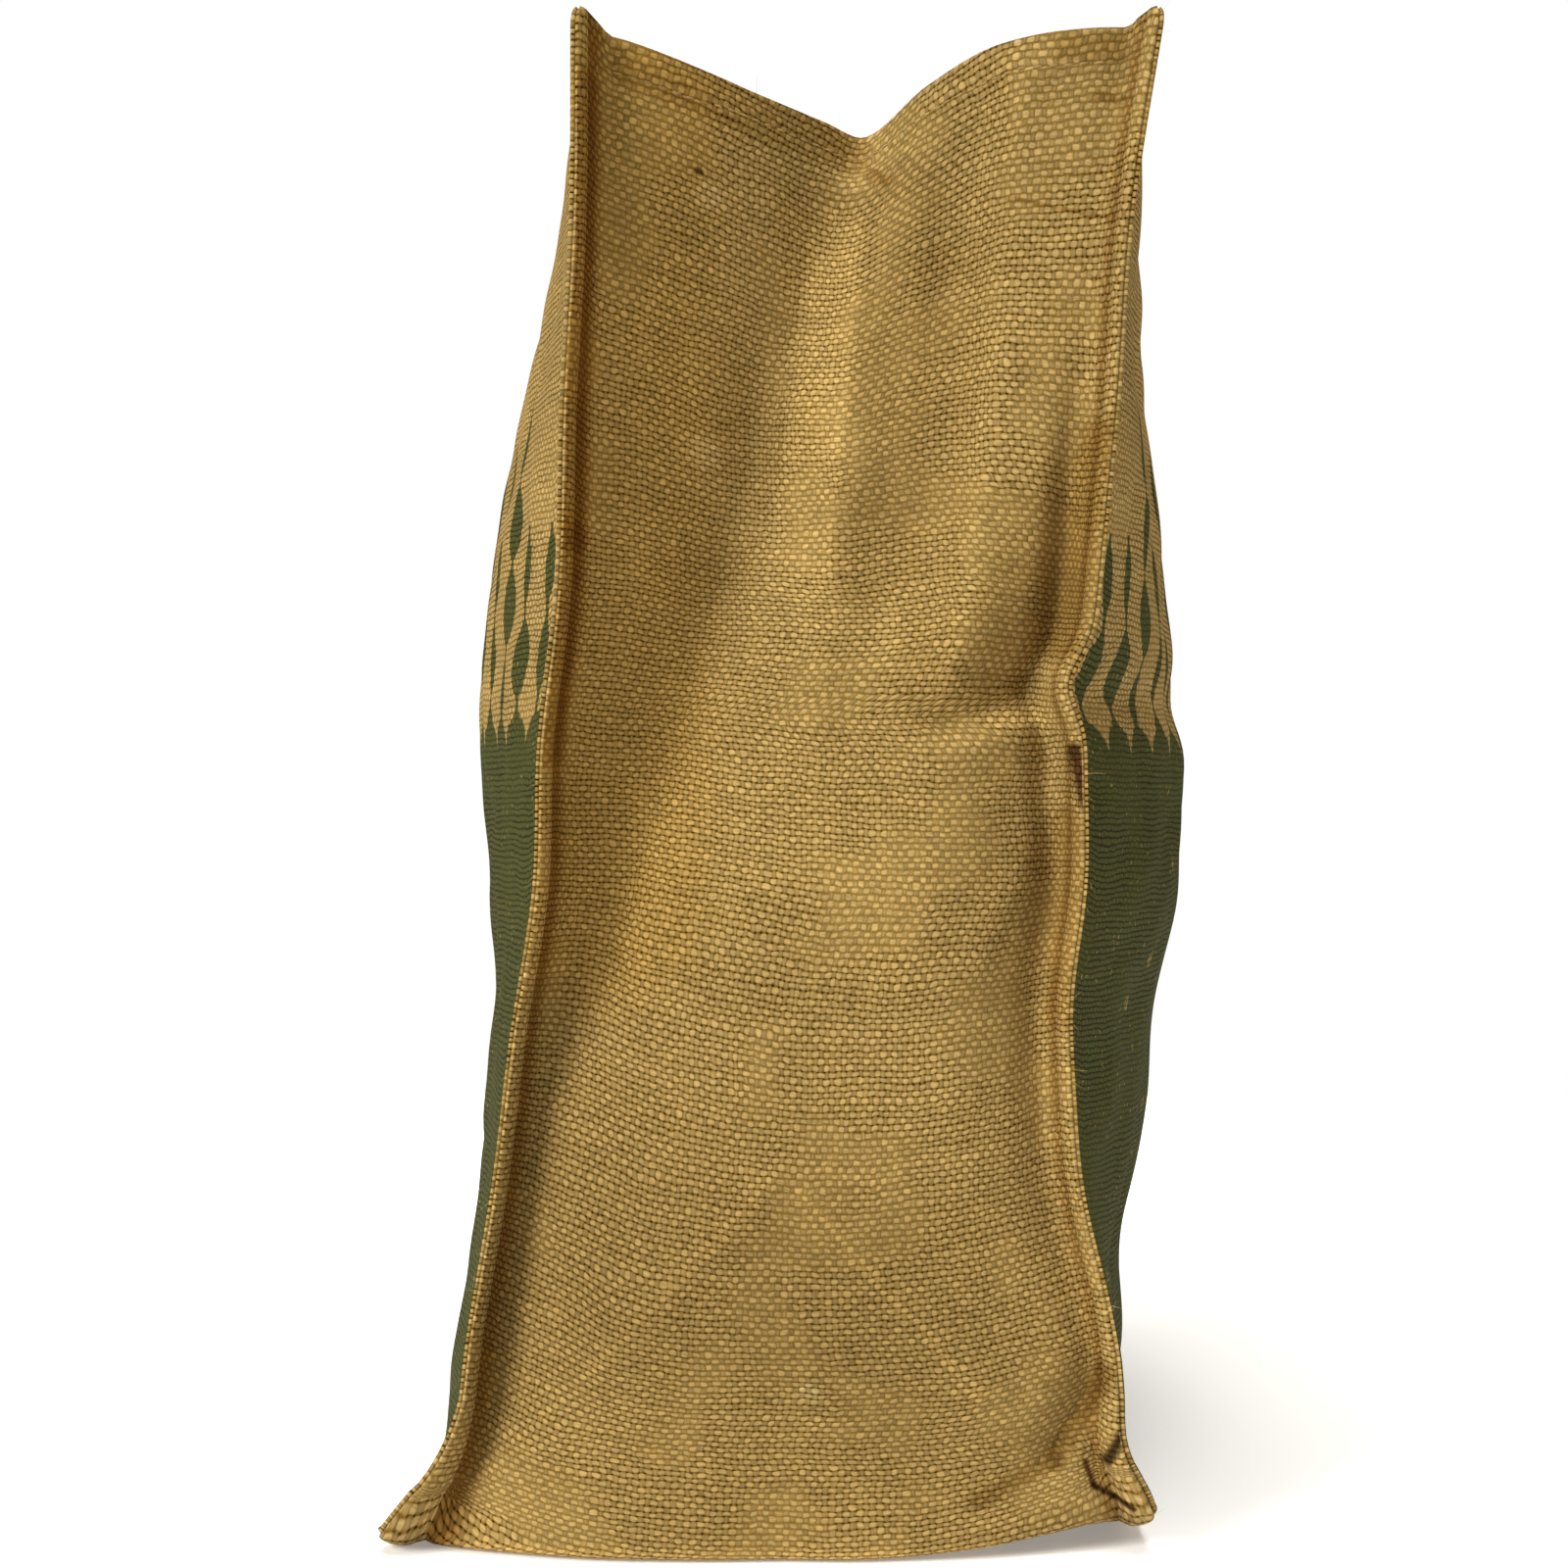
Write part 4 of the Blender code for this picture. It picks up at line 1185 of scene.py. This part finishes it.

# %% [markdown]
# ## Painted shade and light, and marks
#
# Where the cloth dips into a seam, the jute is made darker and browner: that is painted shade. A handled bag
# also has a few marks of its own: a darker yarn, a speck and bleached spots. The other marks here are
# painted
# light and shade: painted shade on the lower part, the middle, beside the folds, on the back half's hem and
# the back seam's welt, between bunched rows and in the small openings, slits and creases by the front seam
# and its ear; painted light on faces of folds and on the edge that lies on the floor; painted highlights
# along the base fold; and a warmer back half for the warm light in its shade. They could be painted by hand.
# Here each is a soft line between two points of the near side, and the jute's colour is multiplied along it,
# so a few numbers place it. The places are Object coordinates: they belong to the standing bag's folds, and
# not to the flat weave.

# %% Painted crevice shade, and marks
# Painted shade in the crevice beside each seam: how far from the seam it ends, where it is darkest,
# and how much of it is laid on there.
CREVICES = {"back": (17.0 * MM, 5.0 * MM, 1.0), "front": (9.0 * MM, 3.0 * MM, 0.7)}
# The colour that the jute is multiplied by in a crevice: painted shade.
PAINTED_CREVICE_SHADE = (0.54, 0.41, 0.23, 1.0)
CREVICE_EDGE = 0.5 * MM  # the crevice stops at the stitched line, over this distance on either side
NEAR_SIDE = (-BAG_LENGTH / 3, -BAG_LENGTH / 2.75)  # Y over which the marks fade in towards the near side
# Marks on the near narrow side, most of them painted light and shade: both ends as (across, height), half
# width and soft edge in millimetres, and what the jute's colour is multiplied by.
MARKS = (
    # Painted shade: the lower part and the middle are made darker.
    ("lower part, painted shade", -56, 84, 0, 66, 20, 110, (0.69, 0.67, 0.63)),
    ("middle, painted shade", -24, 214, 30, 198, 24, 46, (0.88, 0.87, 0.84)),
    # Painted light: the back half is made warmer, for the warm light that bounces into its shade.
    ("back half, painted warm bounce light", -46, 425, -50, 190, 20, 22, (1.06, 1.0, 0.84)),
    # Painted light: the lit face of the middle fold and the top of the back fold are made paler.
    ("face of the middle fold, painted light", 21, 395, 9, 290, 7.0, 4.0, (1.13, 1.13, 1.13)),
    ("top of the back fold, painted light", 10, 400, 8, 376, 2, 7, (1.2, 1.2, 1.2)),
    # Painted shade: beside the front fold it is darker.
    ("beside the front fold, painted shade", 57, 385, 46, 252, 4, 8, (0.87, 0.85, 0.81)),
    # Painted light: the lit face of the dent is made paler.
    ("face of the dent, painted light", 76, 302, 62, 270, 4, 8, (1.14, 1.14, 1.14)),
    # Painted shade: beside the middle fold it is darker.
    ("beside the middle fold, painted shade", 40, 405, 30, 290, 9.5, 4.0, (0.9, 0.88, 0.84)),
    # Painted highlights: paler lines along the ridges of the base fold.
    ("base fold, back leg", 0, 110, -66, 40, 0.6, 1.8, (1.1, 1.1, 1.08)),
    ("base fold, front leg", 8, 108, 62, 47, 0.6, 1.8, (1.16, 1.16, 1.12)),
    # Painted light: the edge that lies on the floor is made much paler.
    ("edge that lies on the floor", -100, 0, 66, 0, 1.0, 5.0, (1.5, 1.5, 1.5)),
    # Painted shade: the hem of the back half is made darker and browner.
    ("hem of the back half", -40, 441, 24, 421, 6.0, 3.0, (0.84, 0.79, 0.68)),
    ("speck", -21.8, 411.1, -20.8, 410.6, 0.6, 0.9, (0.35, 0.28, 0.2)),
    ("pale spot under the hem", -19.4, 404.3, -17.5, 403.6, 2.0, 3.0, (1.25, 1.3, 1.6)),
    ("pale spot, upper part", -21.0, 327.5, -19.5, 327.0, 2.5, 3.5, (1.25, 1.3, 1.6)),
    ("pale spot, lower part", 11.4, 49.7, 12.5, 49.2, 1.5, 2.5, (1.15, 1.25, 1.5)),
    ("dark weft yarn", 72, 401.5, 104, 393.5, 0.3, 0.8, (0.78, 0.7, 0.58)),
    # Painted shade: between the bunched rows at the front tip.
    ("bunched rows by the front tip", 88, 444, 102, 443.5, 2.5, 3.0, (0.84, 0.78, 0.66)),
    ("bunched rows under the front tip", 97, 430, 104, 429, 0.8, 1.5, (0.76, 0.68, 0.56)),
    # Painted shade: at the end of the fold under the hem.
    ("end of the fold under the hem", 31, 413, 35, 410.5, 1.2, 2.2, (0.74, 0.66, 0.54)),
    # Painted shade: along the welt of the back seam and the groove beside it.
    ("welt of the back seam, upper part", -56, 432, -60, 300, 3.5, 3.5, (0.74, 0.64, 0.48)),
    ("welt of the back seam, lower part", -60, 300, -67, 236, 3.5, 3.5, (0.74, 0.64, 0.48)),
    # Painted shade: in the crevice by the front seam.
    ("crevice by the front seam, lower part", 86, 158, 88, 215, 2.0, 5.0, (0.86, 0.8, 0.68)),
    ("crevice by the front seam, upper part", 87, 268, 97, 330, 2.0, 6.0, (0.72, 0.64, 0.48)),
    # Painted shade: the openings, creases and slits by the nip and the front corner are made dark.
    ("opening under the nip", 90.0, 237, 92.6, 221, 0.6, 2.2, (0.18, 0.11, 0.08)),
    ("crease into the front corner", 99, 54, 84, 28, 1.2, 3.5, (0.6, 0.54, 0.42)),
    ("crease along the base", 84, 28, 60, 17, 0.8, 3.5, (0.68, 0.62, 0.5)),
    ("opening at the front corner", 102.2, 36, 99.0, 28.5, 0.3, 2.4, (0.1, 0.08, 0.07)),
    ("slit at the front corner, upper part", 93, 27, 95.5, 20, 0.2, 1.3, (0.25, 0.16, 0.12)),
    ("slit at the front corner, lower part", 95.5, 20, 107, 13.5, 0.3, 1.3, (0.15, 0.1, 0.08)),
)


def mark_share(place, x0, z0, x1, z1, half_width, soft):
    """1 within half_width of the line between two points of the near side, and 0 past soft more.

    It is 0 away from that side as well. The distance is that to the nearest point of the line.
    """
    split = place.tree.nodes.new("ShaderNodeSeparateXYZ")
    feed(split.inputs[0], place)
    from_x = Term(split.outputs["X"]) / MM - x0
    from_z = Term(split.outputs["Z"]) / MM - z0
    length = (x1 - x0) ** 2 + (z1 - z0) ** 2
    along = (from_x * (x1 - x0) + from_z * (z1 - z0)) / length
    along = lower(higher(along, 0.0), 1.0)
    off_x, off_z = from_x - along * (x1 - x0), from_z - along * (z1 - z0)
    away = compute("SQRT", off_x * off_x + off_z * off_z)
    near_side = eased(Term(split.outputs["Y"]), *NEAR_SIDE)
    return eased(away, half_width + soft, half_width) * near_side


def strip_colour(cloth, tree):
    """Jute with painted shade, darker and browner, in the crevices beside the strip's two seams, with a few
    marks.

    Most of the marks are painted light and shade.
    """
    colour = jute_colour(cloth, tree)
    # The crevices beside the two seams get painted shade.
    for side, (reach, darkest, share) in CREVICES.items():
        from_seam = STRIP_WIDTH / 2 - SIGNS[side] * cloth.x
        inside = eased(from_seam, -CREVICE_EDGE, CREVICE_EDGE)
        depth = inside * eased(from_seam, reach, darkest) * share
        colour = mixed(depth, colour, PAINTED_CREVICE_SHADE, "MULTIPLY")
    place = Term(tree.nodes.new("ShaderNodeTexCoord").outputs["Object"])
    for _, *line, shade in MARKS:
        colour = mixed(mark_share(place, *line), colour, (*shade, 1.0), "MULTIPLY")
    return colour


plain_burlap = cloth_material("plain_burlap", strip_colour)

# %% [markdown]
# ## The print
#
# The broad panels are screen printed in one dark olive green: a solid band from the base to above the
# middle, and over it a row of upright stems threaded with pointed ovals. Small flecks are left out of the
# band, but the stems are printed down through it, so that only slivers of the flecks stay bare. Screen ink
# sits on the yarns, so its edge follows them in small steps, and it misses a few specks. The pattern is
# plain arithmetic on the panel's UV map, repeated every few centimetres.

# %% Print
# All lengths of the print are millimetres.
COLUMN = 27.0  # from one printed stem to the next
BAND_TOP, SCALLOP = 238.0, 10.0
STEM_HALF, STEM_TOPS = 1.3, (292.0, 352.0)
OVAL_PITCH, OVAL_HALF_HEIGHT, OVAL_HALF_WIDTH = 27.0, 13.0, 7.5
OVAL_WIDTHS = (0.55, 0.7)  # the least share of that half width, and how much more a wide oval has
FLECK_PITCH, FLECK_HALF_HEIGHT, FLECK_HALF_WIDTH, FLECK_TOP = 40.0, 6.5, 2.3, 226.0
INK_EDGE = 0.5
INK_STEP = 0.4  # how far each place moves to the middle of its yarn, which makes the steps in the ink's edge
# Specks that the ink missed: lumps to a pitch, the noise where a speck starts and where it is full.
SPECK_SIZE, SPECK_FROM, SPECK_TO = 0.8, 0.66, 0.74
SPECK_SHARE = 0.7  # how much of the ink a speck lacks
# The ink darkens towards the holes as painted shade.
INK_SHADES = (
    # height of the weave from its holes to its tops, and the ink's colour there
    (0.0, (0.008, 0.006, 0.001, 1.0)),
    (0.45, (0.022, 0.022, 0.004, 1.0)),
    (1.0, (0.066, 0.069, 0.018, 1.0)),
)


def wrapped(term, pitch):
    """The distance to the middle of the repeat that the term is in."""
    return term - (floor(term / pitch) + 0.5) * pitch


def oval(x, z, half_width, half_height):
    """1 inside |x| < half width (1 - (z / half height)^2), and 0 outside."""
    tall = z / half_height
    return eased(size_of(x) - half_width * (1.0 - tall * tall), INK_EDGE / 2, -INK_EDGE / 2)


def below(z, top):
    """1 under a height and 0 over it."""
    return eased(z - top, INK_EDGE / 2, -INK_EDGE / 2)


def printed_share(cloth):
    """How much ink lies at each place of a panel, from 0 to 1."""
    x = blended(INK_STEP, cloth.u, floor(cloth.u) + 0.5) * (WARP_PITCH / MM)
    z = blended(INK_STEP, cloth.v, floor(cloth.v) + 0.5) * (WEFT_PITCH / MM)
    number = floor(x / COLUMN)
    tall = lot(number, 3.0)
    from_stem = wrapped(x, COLUMN)
    bow = from_stem / (COLUMN / 2)
    band_top = BAND_TOP + SCALLOP * compute("SQRT", higher(1.0 - bow * bow, 0.0))
    low_top, high_top = STEM_TOPS
    top = blended(tall, low_top, high_top)
    stem = eased(size_of(from_stem), STEM_HALF + INK_EDGE / 2, STEM_HALF - INK_EDGE / 2)
    from_top = z - top
    least, more = OVAL_WIDTHS
    width = OVAL_HALF_WIDTH * (least + more * lot(number, floor(from_top / OVAL_PITCH)))
    ovals = oval(from_stem, wrapped(from_top, OVAL_PITCH), width, OVAL_HALF_HEIGHT)
    from_fleck = wrapped(z + tall * (FLECK_PITCH / 2), FLECK_PITCH)
    flecks = oval(from_stem, from_fleck, FLECK_HALF_WIDTH, FLECK_HALF_HEIGHT)
    band = below(z, band_top) * (1.0 - flecks * below(z, FLECK_TOP))
    return higher(band, below(z, top) * higher(stem, ovals))


def printed_colour(cloth, tree):
    """Ink all over the print, thinner in the specks that it missed, and bare jute outside it."""
    jute = jute_colour(cloth, tree)
    ink = brightened(shades(cloth.level, INK_SHADES), blended(0.5, cloth.tone, 1.0))
    missed = eased(noise(cloth.u * SPECK_SIZE, cloth.v * SPECK_SIZE, 6.6, 2.0), SPECK_FROM, SPECK_TO)
    return mixed(printed_share(cloth) * (1.0 - SPECK_SHARE * missed), jute, ink)


printed_burlap = cloth_material("printed_burlap", printed_colour)

# %% [markdown]
# ## The sewing
#
# Each hem is held by a row of stitches, and another row runs along each panel's three seams. A stitch is a
# short thread that rises out of the cloth, lies on it and sinks in again: five small rings of four points,
# closed at both ends. The shape is so simple because it is repeated many hundreds of times. The same tube,
# made longer and thinner and bent, serves for the loose fibres later.

# %% Tubes
def tubes(paths, ups, radii):
    """Thin closed tubes with four sides: point = path + radius (side cos a + top sin a).

    paths is (tubes, rings, 3), ups holds a direction for each tube, and radii is (tubes or 1, rings).
    """
    ahead = unit(np.gradient(paths, axis=1))
    side = unit(np.cross(ups[:, None], ahead))
    top = np.cross(ahead, side)
    turn = np.pi / 2 * np.arange(4)[:, None]
    ring = side[:, :, None] * np.cos(turn) + top[:, :, None] * np.sin(turn)
    points = paths[:, :, None] + radii[..., None, None] * ring
    count, rings = paths.shape[:2]
    corner, after = np.arange(4), np.roll(np.arange(4), -1)
    low = 4 * np.arange(rings - 1)[:, None]
    walls = np.stack([low + corner, low + after, low + 4 + after, low + 4 + corner], axis=-1).reshape(-1, 4)
    ends = np.array([corner[::-1], 4 * (rings - 1) + corner])
    one = np.concatenate([walls, ends])
    faces = one[None] + 4 * rings * np.arange(count)[:, None, None]
    return points.reshape(-1, 3), faces.reshape(-1, 4)


def grid_normals(points):
    """The direction that a grid of points faces at each point, from the cross product of its two slopes."""
    return unit(np.cross(np.gradient(points, axis=0), np.gradient(points, axis=1)))


# %% Stitching
STITCH, STITCH_PITCH = 3.2 * MM, 4.6 * MM
SEAM_STITCH_ROW = 0.45  # how far from a seam its row of stitches lies, in steps of the cloth's grid
THREAD_RADIUS = 0.38 * MM
THREAD_COLOUR = (0.36, 0.235, 0.085, 1.0)
STITCH_SINK = 0.55 * MM  # how far both ends of a stitch lie under its middle
STITCH_RINGS = np.array((-1.0, -0.62, 0.0, 0.62, 1.0))  # where its rings are, in half lengths
STITCH_TAPER = (0.55, 0.9, 1.0, 0.9, 0.55)  # and how thick each ring is, in radii of the thread


def stitches_along(line, normals, height):
    """Stitches at an even pitch along a line of points on a cloth: height - sink (place / half length)^2.

    The height is that of a stitch's middle over the cloth's middle surface.
    """
    run = np.concatenate([[0], np.cumsum(np.linalg.norm(np.diff(line, axis=0), axis=1))])
    at = np.arange(STITCH_PITCH, run[-1] - STITCH_PITCH, STITCH_PITCH)

    def sampled(values, places):
        """Values given along the line, read off at other places."""
        return np.stack([np.interp(places, run, values[:, axis]) for axis in range(3)], axis=-1)

    ups = unit(sampled(normals, at))
    rings = at[:, None] + STITCH_RINGS * STITCH / 2
    on_cloth = sampled(line, rings.ravel()).reshape(len(at), len(STITCH_RINGS), 3)
    lifted = height - STITCH_SINK * STITCH_RINGS**2
    return on_cloth + ups[:, None] * lifted[:, None], ups


def row_between(grid, row):
    """A row of a grid at a place between two of its rows."""
    low = int(row)
    return grid[low] * (1 - row + low) + grid[low + 1] * (row - low)


def sewn_rows():
    """Every row of stitches: each hem from outside and inside, and each panel along its three seams."""
    hem_row = HEM_STITCH_DROP / HEM_ROW_STEP
    strip_normals = -grid_normals(strip_points)
    rows = []
    clear = HEM_CLEAR_COLUMNS
    inner = slice(WELT_COLUMNS + clear, -WELT_COLUMNS - clear)
    for grid, normals in ((strip_points, strip_normals), (strip_points[::-1], strip_normals[::-1])):
        line, ups = row_between(grid, hem_row)[inner], row_between(normals, hem_row)[inner]
        rows += [(line, ups * face, HEM_CLOTH / 2) for face in (1, -1)]
    for side, (_, body, _) in panels.items():
        normals = grid_normals(body) * SIGNS[side]
        top, top_ups = body[::-1], normals[::-1]
        line, ups = row_between(top, hem_row)[clear:-clear], row_between(top_ups, hem_row)[clear:-clear]
        rows += [(line, ups * face, HEM_CLOTH / 2) for face in (1, -1)]
        for grid, facing in ((body, normals), (body[:, ::-1], normals[:, ::-1])):
            upright, turned = (values.transpose(1, 0, 2) for values in (grid, facing))
            line, ups = (row_between(values, SEAM_STITCH_ROW)[3:-2] for values in (upright, turned))
            rows.append((line, ups, CLOTH / 2))
        line, ups = (row_between(values, SEAM_STITCH_ROW)[3:-3] for values in (body, normals))
        rows.append((line, ups, CLOTH / 2))
    return rows


def make_stitching():
    """All stitches as one object. Their middles lie half a thread's radius over the cloth's face."""
    parts = [stitches_along(line, ups, height + THREAD_RADIUS / 2) for line, ups, height in sewn_rows()]
    paths, ups = (np.concatenate([part[index] for part in parts]) for index in (0, 1))
    radii = THREAD_RADIUS * np.array([STITCH_TAPER])
    return new_mesh_object("stitching", *tubes(paths, ups, radii)), len(paths)


stitching, stitch_count = make_stitching()
print("stitches:", stitch_count)

# %% [markdown]
# ## Loose fibres
#
# Jute sheds. Short fibres stand off the cloth everywhere, most of all along the welts, where the yarns are
# handled and bent. Each starts in the cloth and curves away from it: its middle follows
# start + along t + up t^2, with a small sideways bend, and it thins towards its end. The numbers are drawn
# with a fixed seed, so the bag comes out the same each time.

# %% Fibres
FIBRES_ON_STRIP, FIBRES_ON_PANEL, FIBRES_ON_WELTS = 650, 350, 300
FIBRE_RADIUS = 0.07 * MM
FIBRE_LENGTHS = (2.5 * MM, 7.5 * MM)
FIBRE_LIFT = (0.3 * MM, 2.2 * MM)
FIBRE_COLOUR = (0.46, 0.335, 0.14, 1.0)
FIBRE_RINGS = np.linspace(0, 1, 6)
FIBRE_BEND = 0.35  # the most that a fibre bends sideways, as a share of its length
FIBRE_TAPER = 0.7  # how much thinner its end is
FIBRE_ROOT = 0.3  # its root lies deeper in the cloth by this share of half the thickness
FIBRE_SEED = 11


def fibre_paths(grid, facing, count, random):
    """Starts anywhere on a grid, and curves out of the side that faces outwards."""
    row = random.integers(1, grid.shape[0] - 1, count)
    column = random.integers(1, grid.shape[1] - 1, count)
    start, ups = grid[row, column], facing[row, column]
    along = random.normal(size=(count, 3))
    along = unit(along - ups * np.sum(along * ups, axis=-1, keepdims=True))
    bend = np.cross(ups, along) * random.uniform(-FIBRE_BEND, FIBRE_BEND, (count, 1))
    length = random.uniform(*FIBRE_LENGTHS, (count, 1, 1))
    rise = random.uniform(*FIBRE_LIFT, (count, 1, 1))
    t = FIBRE_RINGS[:, None]
    paths = start[:, None] + length * (along[:, None] * t + bend[:, None] * t**2)
    return paths + ups[:, None] * (CLOTH / 2 * (1 - FIBRE_ROOT * (t == 0)) + rise * t**2), ups


def make_fibres():
    """All fibres as one object. None reaches into the floor."""
    random = np.random.default_rng(FIBRE_SEED)
    parts = []
    facing = -grid_normals(strip_points)
    parts.append(fibre_paths(strip_points, facing, FIBRES_ON_STRIP, random))
    for columns in (slice(0, WELT_COLUMNS), slice(-WELT_COLUMNS, None)):
        parts.append(fibre_paths(strip_points[:, columns], facing[:, columns], FIBRES_ON_WELTS, random))
    for side, (_, body, _) in panels.items():
        parts.append(fibre_paths(body, grid_normals(body) * SIGNS[side], FIBRES_ON_PANEL, random))
    paths, ups = (np.concatenate([part[index] for part in parts]) for index in (0, 1))
    paths[..., 2] = np.maximum(paths[..., 2], FIBRE_RADIUS)
    radii = FIBRE_RADIUS * (1 - FIBRE_TAPER * FIBRE_RINGS)[None]
    return new_mesh_object("loose_fibres", *tubes(paths, ups, radii)), len(paths)


fibres, fibre_count = make_fibres()
print("loose fibres:", fibre_count)

# %% Thread and fibre materials
STRAND_ROUGHNESS, STRAND_SPECULAR = 0.75, 0.1
STRAND_TONES, STRAND_PATCH = (0.7, 0.6), 4.0  # the least brightness and how much more, and the patches in mm


def strand_material(name, colour):
    """One colour that changes a little from place to place."""
    material = plain_material(name, colour, STRAND_ROUGHNESS)
    tree = material.node_tree
    shader = tree.nodes["Principled BSDF"]
    shader.inputs["Specular IOR Level"].default_value = STRAND_SPECULAR
    split = tree.nodes.new("ShaderNodeSeparateXYZ")
    tree.links.new(tree.nodes.new("ShaderNodeTexCoord").outputs["Object"], split.inputs[0])
    x, y, z = (Term(split.outputs[axis]) / MM for axis in ("X", "Y", "Z"))
    least, more = STRAND_TONES
    shade = least + more * noise(x / STRAND_PATCH, y / STRAND_PATCH, z / STRAND_PATCH)
    paint = tree.nodes.new("ShaderNodeRGB")
    paint.outputs[0].default_value = colour
    feed(shader.inputs["Base Color"], brightened(Term(paint.outputs[0]), shade))
    print("material:", name, "with", len(tree.nodes), "nodes")
    return material


stitching.data.materials.append(strand_material("sewing_thread", THREAD_COLOUR))
fibres.data.materials.append(strand_material("jute_fibre", FIBRE_COLOUR))
for piece in (stitching, fibres):
    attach(piece, BODY)

# %% Give each cloth its body
SEAM_MARGIN = 11 * MM  # the flat cloth that a seam takes up
for cloth in (strip, panels["back"][0], panels["front"][0]):
    cloth.data.materials.append(plain_burlap if cloth is strip else printed_burlap)
    cloth.data.materials.append(burlap_reverse)
    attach(cloth, BODY)
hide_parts("side_and_base_strip")
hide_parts("back_panel")
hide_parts("front_panel")
for side in SIGNS:
    panel, _, (length, height) = panels[side]
    length + 2 * SEAM_MARGIN
    height + SEAM_MARGIN
